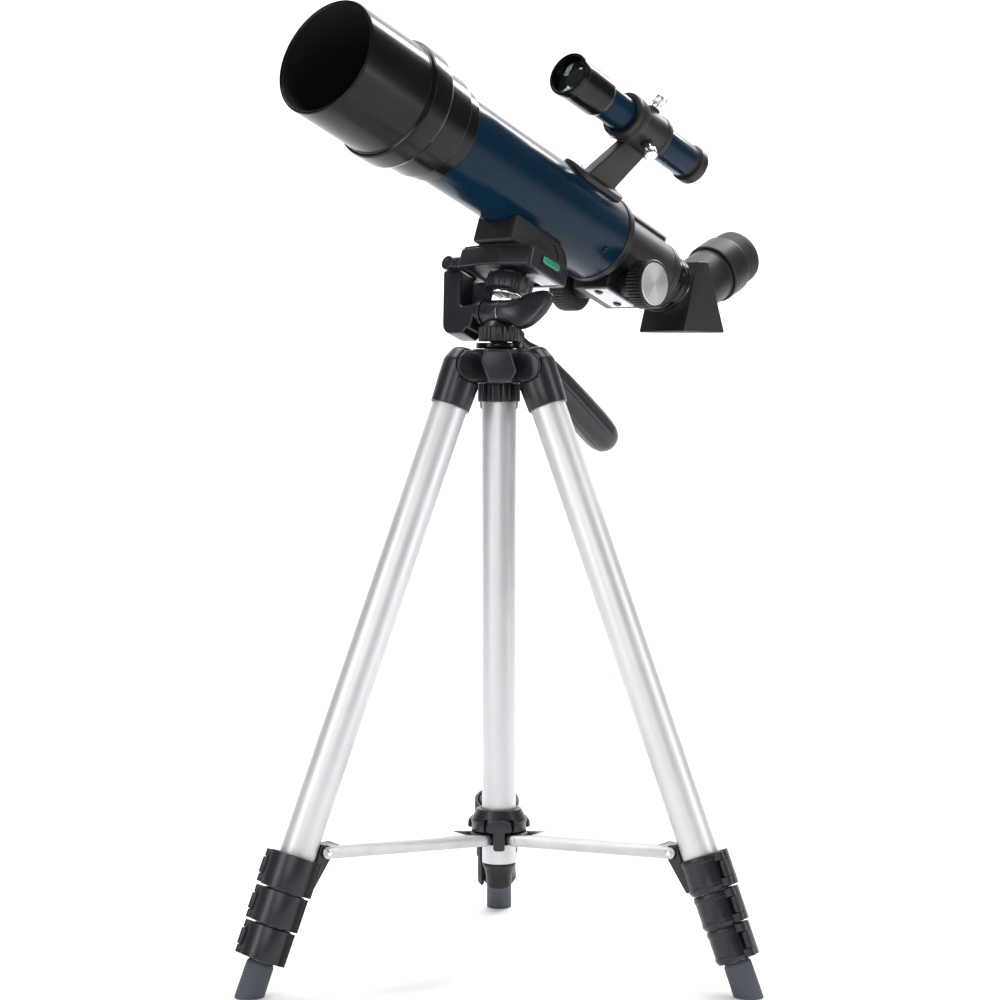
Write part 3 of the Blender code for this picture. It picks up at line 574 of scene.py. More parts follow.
def top_casting(index, local):
    pivot = LEG_PIVOT_S
    socket = lathe([(10.15, 340.7), (11.2, 340.7), (11.55, 350.0), (11.8, 356.0), (11.0, 358.5), (0, 358.5),
        (0, 350.0), (10.15, 350.0)], 0.35, 96)
    lobe = lathe([(0, 346.0), (11.4, 346.0), (11.9, 356.0, 8), (12.0, 366.0, 7), (8.5, 374.4, 5),
        (0, 374.8)], 0.3, 96, 8)
    sides = side_prism([(-8.4, 350.0), (-11.0, 345.5), (-9.0, 340.0), (14.0, 340.0), (14.0, 377.0),
        (2.0, 377.0), (-2.0, 366.0)], -10.0, 10.0, 1.6, 1.6)
    body = join(socket, boolean(lobe, [sides], "INTERSECT"))
    cut(body, along_y(rod(9.35, -14, 14, 0, 96), z=pivot))
    tongue = side_prism([(-3.5, 351.0), (6.0, 351.0), (5.6, pivot), (-5.6, pivot)], -4.0, 4.0, 0.2)
    join(body, tongue, along_y(rod(6.0, -4.0, 4.0, 0.2, 48), z=pivot))
    cut(body, along_y(rod(2.7, -6, 6, 0, 32), z=pivot))
    show(body, f"leg_{index}_top_casting_shell", local, f"leg_{index}", "charcoal_plastic",
        nodes=[f"leg_{index}_top_casting"], smooth=40.0)


def collar_shell(index, order, local, body, nodes):
    """Flip-lock collar with a shallow waist, the ears of its lever, and the strut's lug on the first."""
    size = COLLARS[order - 1]
    low, high, outer = size["low"], size["high"], size["outer"]
    profile = [(size["inner"], low + 2.5), (size["inner"], high), (outer - 0.5, high, 0.8),
        (outer, high - 1.6), (outer, high - 3.4), (outer - 0.35, high - 3.8), (outer - 0.35, low + 4.2),
        (outer, low + 3.8), (outer, low + 2.2), (outer - 1.1, low, 0.6), (size["lip"], low),
        (size["lip"], low + 2.5)]
    shell = lathe(profile, 0.25, 96)
    middle = (low + high) / 2
    reach = size["reach"]
    for sign in (-1, 1):
        ear_low = middle + sign * 7.0 - 2.2
        outline = [(reach - 4.4, -2.6), (reach + 0.6, -2.1, 1.8), (reach + 1.9, 0, 1.6),
            (reach + 0.6, 2.1, 1.8), (reach - 4.4, 2.6)]
        join(shell, turned(prism(outline, ear_low, ear_low + 4.4, 0.35, 0.6), "Z", LEVER_TURN))
    pin = shifted(rod(1.0, middle - 8.0, middle + 8.0, 0.25, 24), reach)
    join(shell, turned(pin, "Z", LEVER_TURN))
    if order == 1:
        lug = side_prism([(-9.0, 61.5), (-12.8, 62.0), (-17.2, 84.0), (-16.4, 88.2), (-13.6, 89.7),
            (-9.0, 89.0)], -6.6, 6.6, 0.9, 1.6)
        cut(lug, rod(10.2, 50, 100, 0, 96))
        join(shell, lug)
    show(softened(shell, 0.25, 2, 45.0), f"leg_{index}_collar_{order}", local, body, "charcoal_plastic",
        nodes=nodes, smooth=40.0)
    if order == 1:
        pin = along_y(rod(1.55, -9.7, 9.7, 0.4, 32), -13.6, 0, 85.8)
        show(pin, f"leg_{index}_strut_pin", local, body, "chrome")


def lever_shell(index, order, local):
    """Flap that wraps the collar, with a fine-ribbed free end."""
    size = COLLARS[order - 1]
    low, high, ring = size["low"], size["high"], size["ring"]
    middle, half = (low + high) / 2, (high - low) / 2 - 0.3
    outer = arc(ring + 2.4, -8.0, 101.0, 40)
    for i in range(7):
        turn = 103.0 + i * 3.0
        outer += arc(ring + 2.75, turn, turn + 1.0, 1) + arc(ring + 2.3, turn + 1.6, turn + 2.4, 1)
    tip = arc(ring + 3.2, 126.0, 128.0, 2)
    outline = outer + tip + arc(ring + 0.55, 125.0, -8.0, 40)
    flap = prism(outline, middle - half, middle + half, 0.35)
    centre = [size["reach"] * f(math.radians(LEVER_TURN)) for f in (math.cos, math.sin)]
    knuckle = shifted(rod(2.15, middle - 4.4, middle + 4.4, 0.3, 40), *centre)
    web = [(ring + 0.7, -17.0), (ring + 2.2, -17.0), (ring + 2.2, 2.0), (ring + 0.7, 2.0)]
    web = [(r * math.cos(math.radians(a)), r * math.sin(math.radians(a))) for r, a in web]
    join(flap, prism(web, middle - 4.25, middle + 4.25, 0.0), knuckle)
    cut(flap, shifted(rod(1.25, middle - 20, middle + 20, 0, 24), *centre))
    show(flap, f"leg_{index}_lever_{order}_flap", local, f"leg_{index}_lever_{order}", "charcoal_plastic",
        nodes=[f"leg_{index}_lever_{order}"], smooth=40.0)


def rubber_foot(index, local):
    """Rubber shoe, cut flat where it stands."""
    foot = lathe([(0, -8.0), (7.6, -8.0), (7.8, 3.0), (7.7, 17.6, 0.8), (6.8, 19.6, 0.8), (0, 19.6)], 0.2, 72)
    up = local.to_3x3().inverted() @ UP
    bm = bmesh.new()
    bm.from_mesh(foot.data)
    result = bmesh.ops.bisect_plane(bm, geom=bm.verts[:] + bm.edges[:] + bm.faces[:], plane_co=(0, 0, 0),
        plane_no=-up, clear_outer=True)
    edges = [e for e in result["geom_cut"] if isinstance(e, bmesh.types.BMEdge)]
    bmesh.ops.contextual_create(bm, geom=edges)
    bmesh.ops.recalc_face_normals(bm, faces=bm.faces)
    bm.to_mesh(foot.data)
    bm.free()
    show(foot, f"leg_{index}_rubber_foot", local, f"leg_{index}_foot", "foot_rubber",
        nodes=[f"leg_{index}_lower_section"])


def build_leg(index):
    local = leg_axes(index)
    top_casting(index, local)
    show(pipe(TUBE_RADII[0], 9.2, 62.0, 349.0), f"leg_{index}_tube_1", local, f"leg_{index}",
        "silver_anodised", nodes=[f"leg_{index}_upper_tube"])
    bodies = (f"leg_{index}", f"leg_{index}_middle", f"leg_{index}_lower", f"leg_{index}_foot")
    cad = ((f"leg_{index}_clamp_1",), (f"leg_{index}_section_2",), (f"leg_{index}_section_3",))
    for order in (1, 2, 3):
        collar_shell(index, order, local, bodies[order - 1], list(cad[order - 1]))
        lever_shell(index, order, local)
    for order, low, high in ((2, 42.9, 336.0), (3, 23.5, 322.0), (4, 16.5, 300.0)):
        radius = TUBE_RADII[order - 1]
        tube = pipe(radius, radius - 0.8, low, high, 0.15, 80)
        show(tube, f"leg_{index}_tube_{order}", local, bodies[order - 1], "silver_anodised")
    rubber_foot(index, local)


# ---- spider, column and brace


def build_spider():
    pivot_r = (radial_axes(1).inverted() @ joint_point("leg_1_fold")).x / MM
    body = rod(15.2, 330.7, 349.9, 0.8, 128)
    for index in LEGS:
        turn = TRIPOD.inverted() @ radial_axes(index)
        lobe = along_y(lathe([(0, -10), (8.9, -10, 1.2), (8.9, 10, 1.2), (0, 10)], 1.2, 96, 5), pivot_r, 0,
            340)
        arm = block((8.0, pivot_r + 0.7), (-9.0, 9.0), (331.8, 348.2), 0)
        join(body, moved(lobe, turn), moved(arm, turn))
    for index in LEGS:
        turn = TRIPOD.inverted() @ radial_axes(index)
        cut(body, moved(block((15.8, 45), (-4.4, 4.4), (320, 360), 0), turn))
    boss = shifted(turned(rod(6.0, 10, 19, 0.5), "X", 90.0), z=LOCK_HEIGHT)
    join(body, boss)
    cut(body, rod(COLUMN_BORE, 320, 360, 0, 96))
    show(softened(body, 0.4, 2, 50.0), "spider_shell", TRIPOD, "base", "charcoal_plastic", nodes=["spider"],
        smooth=40.0)
    for index in LEGS:
        local = radial_axes(index)
        pin = along_y(rod(2.3, -10.05, 10.05, 0.4, 40), pivot_r, 0, 340.0)
        show(pin, f"leg_pin_{index}", local, "base", "charcoal_plastic")
    collar = ribbed(12.0, 0.75, 320.2, 330.3, 20, COLUMN_BORE, 0.5, 0.7)
    show(collar, "column_nut", TRIPOD, "base", "charcoal_plastic", nodes=["column_collar"])


def build_column():
    show(pipe(9.57, 8.3, 58.2, 349.6), "column_tube", TRIPOD, "column", "silver_anodised", nodes=["column"])
    plate = lathe([(0, 344.0), (8.0, 344.0), (8.0, 350.3), (12.7, 350.3), (13.1, 351.0, 0.8),
        (13.1, 352.7, 0.8), (12.5, 353.4), (5.0, 353.4), (5.0, 361.0), (0, 361.0)], 0.3, 128)
    show(plate, "column_flange", TRIPOD, "column", "gloss_black", nodes=["column_top_plate"])
    cap = lathe([(0, 43.6), (6.6, 43.6, 0.8), (7.1, 45.0, 1.5), (7.4, 50.5, 3.0), (8.3, 54.5, 3.0),
        (9.4, 56.6), (9.5, 57.9), (8.0, 57.9), (8.0, 64.0), (0, 64.0)], 0.4, 96, 5)
    show(cap, "column_foot_cap", TRIPOD, "column", "satin_black", nodes=["column_end_cap"])
    outline = [(-10.1, 3.1, 2.0), (-6.8, 9.2, 2.5), (5.8, 9.0, 2.5), (7.9, 3.8, 6.0), (10.1, -3.1, 2.0),
        (6.8, -9.2, 2.5), (-5.8, -9.0, 2.5), (-7.9, -3.8, 6.0)]
    knob = side_prism([(x, z + LOCK_HEIGHT, r) for x, z, r in outline], -31.0, -20.4, 1.9, steps=8)
    show(knob, "column_lock_wing", TRIPOD, "column_lock_knob", "charcoal_plastic", nodes=["column_lock_knob"])
    stem = shifted(turned(rod(4.4, 19.2, 21.0, 0.3), "X", 90.0), z=LOCK_HEIGHT)
    show(stem, "column_lock_stem", TRIPOD, "column_lock_knob", "charcoal_plastic")


def build_brace():
    hub = lathe([(COLUMN_BORE, 69.4), (12.0, 69.4), (12.0, 77.0), (15.5, 77.0, 0.6), (15.9, 83.0, 1.5),
        (13.2, 88.0, 1.5), (12.6, 89.2), (COLUMN_BORE, 89.2)], 0.4, 128)
    for index in LEGS:
        turn = TRIPOD.inverted() @ radial_axes(index) @ Matrix.Rotation(math.radians(60.0), 4, "Z")
        arch = [(-3.3, 67.0, 1.6), (3.3, 67.0, 1.6), (3.3, 77.6, 0.8), (7.4, 77.6, 1.4), (7.0, 82.0, 3.0),
            (0.0, 85.4, 8.0), (-7.0, 82.0, 3.0), (-7.4, 77.6, 1.4), (-3.3, 77.6, 0.8)]
        panel = front_prism(arch, 10.6, 16.5, 0.5, 0.0, 8)
        cut(panel, rod(COLUMN_BORE, 50, 100, 0, 96))
        join(hub, moved(panel, turn))
    for index in LEGS:
        turn = TRIPOD.inverted() @ radial_axes(index)
        for sign in (-1, 1):
            low, high = sorted((sign * 7.0, sign * 9.2))
            cut(hub, moved(block((5, 30), (low, high), (60, 84.5), 0), turn))
        ear = along_y(rod(3.4, -6.9, 6.9, 0.5, 40), HUB_PIN[0], 0, HUB_PIN[1])
        cut(ear, rod(10.2, 50, 100, 0, 96))
        join(hub, moved(ear, turn))
    show(hub, "brace_hub_shell", TRIPOD, "brace_hub", "charcoal_plastic", nodes=["brace_hub"], smooth=40.0)
    for index in LEGS:
        build_strut(index)


def build_strut(index):
    """Folded channel with round ends and rivet heads."""
    local = radial_axes(index)
    pin = local.inverted() @ joint_point(f"strut_{index}_swing")
    pin_r, pin_z = pin.x / MM, pin.z / MM
    hub_r, hub_z = HUB_PIN
    length = math.hypot(pin_r - hub_r, pin_z - hub_z)
    rise = math.degrees(math.atan2(pin_z - hub_z, pin_r - hub_r))
    side = arc(3.4, 270, 120, 14) + [(14.0, 4.0), (length - 9.0, 4.0)] + arc(3.4, 60, -90, 14, (length, 0.0))
    body = side_prism(side, -8.6, 8.6, 0.7)
    cut(body, block((-20, length + 20), (-7.75, 7.75), (-20, 3.2), 0.0))
    cut(body, block((-20, 13), (-7.75, 7.75), (-20, 20), 0.0))
    cut(body, block((length - 7, length + 20), (-7.75, 7.75), (-20, 20), 0.0))
    for end in (0.0, length):
        for sign in (-1, 1):
            head = lathe([(0, -0.3), (2.3, -0.3), (2.2, 0.3, 0.3), (1.4, 0.55, 0.8), (0, 0.55)], 0.2, 32)
            head = turned(head, "X", -90.0 * sign)
            join(body, shifted(head, end, sign * 8.6, 0.0))
    frame_move = Matrix.Translation((hub_r, 0.0, hub_z)) @ Matrix.Rotation(math.radians(-rise), 4, "Y")
    show(moved(softened(body, 0.15, 2, 50.0), frame_move), f"strut_{index}_channel", local,
        f"strut_{index}", "strut_metal", nodes=[f"strut_{index}"], smooth=40.0)


# ---- head


def build_pan_body():
    to_tripod = TRIPOD.inverted() @ HEAD
    scale = Matrix.Scale(1000.0, 4)
    to_tripod = scale @ to_tripod @ scale.inverted()
    handle = scale @ TRIPOD.inverted() @ HANDLE @ scale.inverted()
    ring = ribbed(11.7, 0.9, 354.2, 362.4, 21, 0.0, 0.45, 0.62)
    show(ring, "pan_ribbed_ring", TRIPOD, "pan_body", "charcoal_plastic", nodes=["pan_body"])
    neck = lathe([(0, 361.5), (10.6, 361.5), (9.4, 363.2, 1.5), (7.2, 366.0, 1.0), (0, 366.0)], 0.4, 96)
    cut(neck, moved(along_y(rod(8.2, 3.1, 30, 0, 64)), to_tripod))
    show(neck, "pan_neck", TRIPOD, "pan_body", "charcoal_plastic")
    barrel = along_y(rod(7.1, -9.2, 3.0, 0.5, 96))
    show(barrel, "tilt_barrel", HEAD, "pan_body", "charcoal_plastic")
    washer = along_y(pipe(6.9, 3.2, 3.0, 3.3, 0.1, 64))
    show(washer, "tilt_washer", HEAD, "pan_body", "chrome")
    boss = rod(5.4, -7.0, 1.5, 0.5, 48)
    cut(boss, moved(rod(60, 300, 354.0, 0, 24), handle.inverted()))
    show(boss, "handle_boss", HANDLE, "pan_body", "charcoal_plastic")


def build_handle():
    """Pan handle: a tapered grip with shallow flutes and a narrow stud at its root."""
    profile = [(-3.4, 2.6), (1.9, 2.6), (1.95, 3.7), (5.0, 4.0), (9.0, 4.3), (12.0, 5.2), (16.0, 6.6),
        (24.0, 7.7), (34.0, 8.6), (50.0, 9.5), (70.0, 10.2), (86.0, 10.5), (94.0, 10.3), (99.0, 9.6),
        (102.6, 8.2), (104.9, 6.2), (105.9, 3.9), (106.2, 1.6)]
    count = 144
    rings = []
    for z, radius in profile:
        ring = []
        flute = 0.30 * min(1.0, max(0.0, (z - 14.0) / 14.0)) * min(1.0, max(0.0, (100.0 - z) / 8.0))
        for i in range(count):
            turn = 2 * math.pi * i / count
            r = radius - flute * (0.5 - 0.5 * math.cos(12 * turn)) ** 6
            ring.append((r * math.cos(turn), r * math.sin(turn), z))
        rings.append(ring)
    show(loop_body(rings), "pan_handle_grip", HANDLE, "pan_handle", "charcoal_plastic",
        nodes=["pan_handle"], smooth=30.0)


def build_bracket():
    """L-shaped tilt bracket with a hollowed back, a web in its corner and its hinge knuckle."""
    outline = [(-44.4, 24.4, 1.6), (-32.9, -14.8, 8), (-17.0, -14.8, 2), (-15.6, -11.4), (-12.7, -11.2),
        (-12.7, 3.6), (-19.0, 2.2), (-24.2, 1.6, 3), (-30.4, 24.0)]
    arm = front_prism(outline, -6.4, 6.9, 1.0, 1.3, 8)
    hollow = [(-40.2, 20.5), (-32.6, -7.0, 4), (-29.0, -11.8, 3), (-18.4, -11.8), (-15.4, -8.4),
        (-15.4, 0.0), (-23.6, -1.4, 3), (-33.0, 20.5)]
    cut(arm, front_prism(hollow, -12.0, 2.4, 0.0, 1.0))
    join(arm, along_x(rod(4.4, -6.6, 6.7, 0.5, 64), *HINGE_AT), along_y(rod(7.5, -13.6, -9.6, 0.4, 96)))
    cut(arm, along_x(rod(1.9, -20, 20, 0, 32), *HINGE_AT))
    web = [(-32.0, 20.0), (-25.0, 0.0), (-13.6, 0.0), (-13.6, 14.0), (-19.0, 21.0)]
    join(arm, front_prism(web, -6.2, -4.0, 0.4, 1.5))
    show(softened(arm, 0.3, 2, 50.0), "tilt_bracket", HEAD, "tilt_frame", "charcoal_plastic",
        nodes=["tilt_frame"], smooth=40.0)
    show(along_y(rod(2.7, -10.0, 8.0, 0.3, 32)), "tilt_bolt", HEAD, "tilt_frame", "chrome")


def build_wing():
    """Wing lever that swells out of its hub."""
    stations = [  # across, lowest, highest, half thickness
        (3.35, -6.9, 6.9, 6.9), (6.0, -7.0, 7.0, 6.8), (9.0, -7.0, 7.2, 6.2), (12.0, -7.6, 7.8, 5.2),
        (15.0, -9.2, 8.6, 4.3), (18.0, -10.2, 9.8, 3.8), (22.0, -9.8, 11.2, 3.5), (26.0, -8.2, 12.2, 3.3),
        (30.0, -5.2, 12.4, 3.1), (33.5, -1.2, 12.0, 2.8), (36.0, 3.4, 10.6, 2.2), (37.0, 6.0, 8.8, 1.2)]
    count = 48
    rings = []
    for across, low, high, half in stations:
        middle, reach = (low + high) / 2, (high - low) / 2
        power = 1.0 if across < 9 else max(0.62, 1.0 - (across - 9) * 0.04)
        ring = []
        for i in range(count):
            turn = 2 * math.pi * i / count
            c, s = math.cos(turn), math.sin(turn)
            ring.append((half * math.copysign(abs(c) ** power, c), across,
                middle + reach * math.copysign(abs(s) ** power, s)))
        rings.append(ring)
    show(loop_body(rings), "tilt_wing", HEAD, "tilt_wing_lever", "charcoal_plastic",
        nodes=["tilt_wing_lever"], smooth=50.0)


def vial(radius, low, high, edge):
    """Upright slice of the level, long along the plate and round at both ends."""
    outline = arc(radius, -90, 90, 10, (2.5, 29.9)) + arc(radius, 90, 270, 10, (-8.5, 29.9))
    return side_prism(outline, low, high, edge)


def build_platform():
    """Camera plate with a convex front lip, hinge ears, pad, and the level set in its side."""
    plan = [(-19.6, -27.0, 2.0), (-20.0, 27.0, 2.0), (15.2, 27.0, 3.0), (18.0, 6.0, 20), (18.0, -6.0, 20),
        (15.2, -27.0, 3.0)]
    plate = prism(plan, 22.5, 33.4, 0.8, steps=8)
    cut(plate, shifted(rod(3.4, 10, 50, 0, 40), *SCREW_AT))
    cut(plate, vial(2.3, 25.2, 40.0, 0.0))
    under = prism([(x * 0.86, y * 0.88, r) for x, y, r in plan], 15.0, 24.0, 0.0)
    keep = shifted(rod(8.0, 10, 30, 0, 48), *SCREW_AT)
    cut(under, keep)
    cut(plate, under)
    for low, high in ((-13.6, -7.0), (7.1, 14.0)):
        ear = block((low + 0.2, high - 0.2), (-36.0, -24.0), (23.4, 29.2), 0.5)
        join(plate, ear, along_x(rod(4.2, low, high, 0.6, 64), *HINGE_AT))
    on_plate(softened(plate, 0.25, 2, 50.0), "camera_platform", "charcoal_plastic", nodes=["platform"],
        smooth=40.0)
    pad = prism([(x * 0.96 - 0.1, y * 0.965, r) for x, y, r in plan], 33.4, 34.9, 0.4, steps=8)
    cut(pad, shifted(rod(3.4, 10, 50, 0, 40), *SCREW_AT))
    on_plate(pad, "platform_pad", "satin_black", "grip_rubber")
    on_plate(along_x(rod(1.6, -13.9, 14.2, 0.4, 32), *HINGE_AT), "platform_hinge_pin", "satin_black")
    on_plate(vial(2.0, 25.4, 27.9, 0.5), "bubble_vial", "bubble_green", nodes=["bubble_level"])
    rim = cut(vial(2.8, 26.4, 27.5, 0.2), vial(2.1, 20.0, 40.0, 0.0))
    on_plate(rim, "bubble_rim", "satin_black")
    # Pale sheet under the platform: a painted reflection of the bright floor on the platform's underside.
    plate = block((-16.4, -2.0), (11.5, 23.3), (22.6, 24.1), 0.25)
    on_plate(plate, "platform_underside_painted_reflection", "satin_black", "light_plate")


def build_platform_screw():
    knob = ribbed(13.5, 0.45, 12.4, 21.4, 16, 0.0, 0.9, 0.6)
    shifted(knob, *SCREW_AT)
    show(knob, "platform_screw_knob", HEAD, "platform_screw", "charcoal_plastic", nodes=["platform_screw"])
    show(shifted(rod(3.0, 8.9, 42.0, 0.3, 40), *SCREW_AT), "platform_screw_stud", HEAD, "platform_screw",
        "chrome")
    show(shifted(lathe([(0, 10.6), (7.6, 10.6, 0.8), (8.6, 12.6), (0, 12.6)], 0.3, 64), *SCREW_AT),
        "platform_screw_boss", HEAD, "platform_screw", "charcoal_plastic")
    wire = []
    path = arc(10.8, 0.0, 180.0, 32)
    path = [(10.8, -0.2)] + path + [(-10.8, -0.2)]
    for i, (x, y) in enumerate(path):
        before, after = path[max(i - 1, 0)], path[min(i + 1, len(path) - 1)]
        direction = Vector((after[0] - before[0], after[1] - before[1], 0)).normalized()
        side = Vector((-direction.y, direction.x, 0))
        ring = []
        for k in range(16):
            turn = 2 * math.pi * k / 16
            offset = side * 0.8 * math.cos(turn) + Vector((0, 0, 0.8 * math.sin(turn)))
            ring.append((x + offset.x, y + offset.y, 10.0 + offset.z))
        wire.append(ring)
    ring = shifted(loop_body(wire), *SCREW_AT)
    show(ring, "screw_bail", HEAD, "platform_screw", "chrome")
    bar = shifted(along_x(rod(0.8, -11.2, 11.2, 0.2, 24), 0, 0, 10.0), *SCREW_AT)
    show(bar, "screw_bail_bar", HEAD, "platform_screw", "chrome")


# ---- telescope


def build_optics():
    shield = lathe([(30.9, 90.5), (30.9, 146.0), (31.3, 146.9), (32.3, 146.9), (32.7, 146.2), (32.7, 99.0),
        (33.2, 98.3), (34.2, 97.9), (34.8, 96.8, 0.5), (34.8, 84.2, 0.5), (34.2, 82.7), (31.2, 82.7),
        (31.2, 90.5)], 0.35, 192)
    on_tube(along_x(shield), "dew_shield_shell", "gloss_black", nodes=["dew_shield"])
    lining = along_x(pipe(30.88, 30.5, 92.0, 146.2, 0.1, 128))
    on_tube(lining, "dew_shield_lining", "gloss_black", "inside_black")
    cell = lathe([(27.6, 64.0), (27.6, 88.0), (30.5, 88.0), (30.6, 82.0), (30.6, 63.0, 0.6),
        (29.8, 61.8, 0.4), (28.6, 61.4), (28.4, 60.6), (28.4, 53.2, 0.5), (27.6, 51.9, 0.3), (26.7, 51.6),
        (26.7, 58.0)], 0.3, 192)
    on_tube(along_x(cell), "lens_cell", "gloss_black")
    baffle = lathe([(23.0, 71.0), (30.0, 71.0), (30.0, 72.6), (23.0, 72.6)], 0.2, 128)
    on_tube(along_x(baffle), "lens_baffle", "gloss_black", "inside_black")
    retainer = lathe([(25.6, 86.0), (25.6, 89.6), (26.4, 90.4), (30.7, 90.4), (30.7, 88.2), (27.4, 88.2),
        (27.4, 86.0)], 0.25, 128)
    on_tube(along_x(retainer), "lens_retainer", "gloss_black", "satin_black")
    lens = lathe([(0, 75.0), (14.0, 75.6), (22.0, 77.2), (27.2, 78.8), (27.2, 83.6), (26.0, 84.4),
        (20.0, 86.2), (12.0, 87.6), (0, 88.4)], 0.3, 128, 4)
    on_tube(along_x(lens), "objective_glass", "glass", nodes=["objective_lens"])
    tube = lathe([(25.4, -90.0), (26.5, -90.0), (26.5, 54.0), (25.4, 60.0)], 0.2, 192)
    on_tube(along_x(tube), "tube_shell", "tube_blue", nodes=["main_tube"])
    inner = along_x(pipe(25.3, 24.9, -88.0, 70.0, 0.1, 96))
    on_tube(inner, "tube_lining", "gloss_black", "inside_black")
    for k in range(3):
        screw = shifted(cross_screw(1.9, 1.1), 0, 0, 26.4)
        screw = moved(screw, Matrix.Rotation(math.radians(-122.8 + 120 * k), 4, "X"))
        on_tube(shifted(screw, -78.2), f"tube_screw_{k + 1}", "gloss_black", smooth=40.0)


def build_mount_foot():
    """Saddle casting under the tube, with a curved bed where it holds it and pockets in its sides."""
    side = [(20.3, 35.4), (-28.0, 35.4, 3.0), (-31.3, 38.2, 2.5), (-31.3, 41.6, 3.0), (-27.7, 47.4, 8),
        (-11.6, 53.2, 6), (-4.0, 58.0), (14.0, 58.0), (20.3, 50.0)]
    foot = side_prism(side, -14.5, 14.5, 1.4, 1.8, 6)
    shifted(foot, -27.4, 0, -73.4)
    cut(foot, along_x(rod(TUBE_BED, -150, 150, 0, 160)))
    cut(foot, shifted(rod(3.3, -60, -30, 0, 40), -29.4, 1.0))
    for sign in (-1, 1):
        pocket = side_prism([(-36.0, -35.0), (-46.0, -35.0), (-50.0, -31.0), (-44.0, -26.0),
            (-36.0, -26.0)], *sorted((sign * 13.6, sign * 20.0)), 0.0, 1.2)
        cut(foot, pocket)
    on_tube(softened(foot, 0.5, 3, 45.0), "tube_saddle", "satin_black", nodes=["mounting_foot"], smooth=40.0)


def build_focuser():
    """Rack and pinion focuser: casting, cover plate, draw tube and knobs."""
    housing = lathe([(18.3, -152.0), (20.4, -152.0), (21.2, -151.0, 0.6), (21.2, -146.6), (20.8, -146.2),
        (20.8, -144.8), (21.2, -144.4), (21.2, -101.0, 3), (23.2, -97.4, 2), (26.9, -95.0, 0.6),
        (26.9, -90.3), (24.8, -90.3), (24.8, -84.0), (22.0, -84.0), (22.0, -97.0), (18.3, -99.0)], 0.3, 160)
    body = along_x(housing)
    case = block((-132, -98), (-13, 13), (-29.4, -14), 1.4, 4)
    cut(case, along_x(rod(20, -160, -80, 0, 128)))
    rail = block((-146, -100), (-9, 9), (15, 22.9), 0.9, 3)
    cut(rail, along_x(rod(20, -160, -80, 0, 128)))
    join(body, case, rail)
    shelf = block((-143.5, -102.5), (-7.0, 7.0), (22.3, 26.0), 0.4)
    cut(body, shelf)
    cut(body, along_y(rod(7.2, -40, 40, 0, 64), *PINION_AT))
    on_tube(softened(body, 0.35, 2, 50.0), "focuser_casting", "satin_black", nodes=["focuser_housing"],
        smooth=40.0)
    # Thin pale strip along the rail's side: a painted highlight on the edge of the black rail.
    edge = block((-145.6, -100.4), (8.9, 9.4), (21.5, 22.8), 0.15)
    for low, high in ((-145.6, -144.4), (-101.6, -100.4)):
        join(edge, block((low, high), (8.9, 9.4), (16.4, 22.0), 0.1))
    on_tube(edge, "focuser_rail_painted_highlight", "satin_black", "light_plate")
    teeth = [(-143.2, 21.6)]
    for k in range(25):
        teeth += [(-143.2 + k * 1.6, 22.2), (-142.4 + k * 1.6, 22.85)]
    teeth += [(-102.8, 22.2), (-102.8, 21.6)]
    on_tube(side_prism(teeth, -6.8, 6.8, 0.0), "focuser_rail_ribs", "satin_black")
    plate = block((-126.0, -98.4), (-4.0, 12.4), (-30.6, -29.2), 0.4)
    on_tube(plate, "focuser_cover", "satin_black", "light_plate")
    for k, u in enumerate((-101.8, -120.5), 1):
        screw = shifted(turned(cross_screw(2.7, 1.2), "X", 180.0), u, 4.2, -30.4)
        on_tube(screw, f"cover_screw_{k}", "gloss_black", smooth=40.0)
    bearing = along_y(pipe(7.1, 2.3, -22.5, 22.5, 0.4, 64), *PINION_AT)
    on_tube(bearing, "pinion_bearing", "satin_black")
    lock = lathe([(0, 20.5), (2.2, 20.5), (2.2, 22.4), (3.6, 23.0), (3.8, 26.4, 0.6), (0, 26.8)], 0.3, 48)
    on_tube(shifted(moved(lock, Matrix.Rotation(math.radians(62.0), 4, "X")), -138.0), "focus_lock_screw",
        "chrome")
    draw = lathe([(16.4, -166.0), (17.8, -166.0), (18.6, -165.2), (18.6, -163.4), (18.2, -163.0),
        (18.2, -161.8), (18.6, -161.4), (18.6, -159.2), (17.9, -158.2), (17.9, -96.0), (16.4, -96.0)], 0.25,
        160)
    body = along_x(draw)
    cut(body, block((-158, -90), (-9, 9), (-30, -14.2), 0))
    show(softened(body, 0.2, 2, 60.0), "draw_tube_shell", TUBE, "draw_tube", "gloss_black",
        nodes=["draw_tube"], smooth=40.0)
    rack = block((-157, -98), (-4.2, 4.2), (-15.6, -14.3), 0.2)
    show(rack, "rack_strip", TUBE, "draw_tube", "satin_black")
    shaft = along_y(rod(2.0, -34.0, 34.0, 0.3, 40))
    shifted(shaft, *PINION_AT)
    show(shaft, "pinion_shaft", TUBE, "focus_knobs", "chrome", nodes=["focus_knobs"])
    for side, sign in (("near", 1), ("far", -1)):
        rim = ribbed(14.5, 0.55, 24.2, 33.6, 44, 0.0, 0.5, 0.62)
        front = lathe([(12.9, 33.4), (14.1, 33.4), (14.2, 34.4, 0.5), (13.5, 35.0), (12.9, 34.8)], 0.15, 128)
        disc = lathe([(0, 33.0), (12.85, 33.0), (12.85, 34.3), (12.4, 34.75), (1.2, 34.3), (0, 34.3)], 0.12,
            128)
        for part, name, look in ((rim, "rim", None), (front, "lip", None), (disc, "disc", "spun_aluminium")):
            if sign < 0:
                turned(part, "X", 180.0)
            show(part, f"focus_knob_{side}_{name}", focus_knob_axes(), "focus_knobs", "satin_black", look)


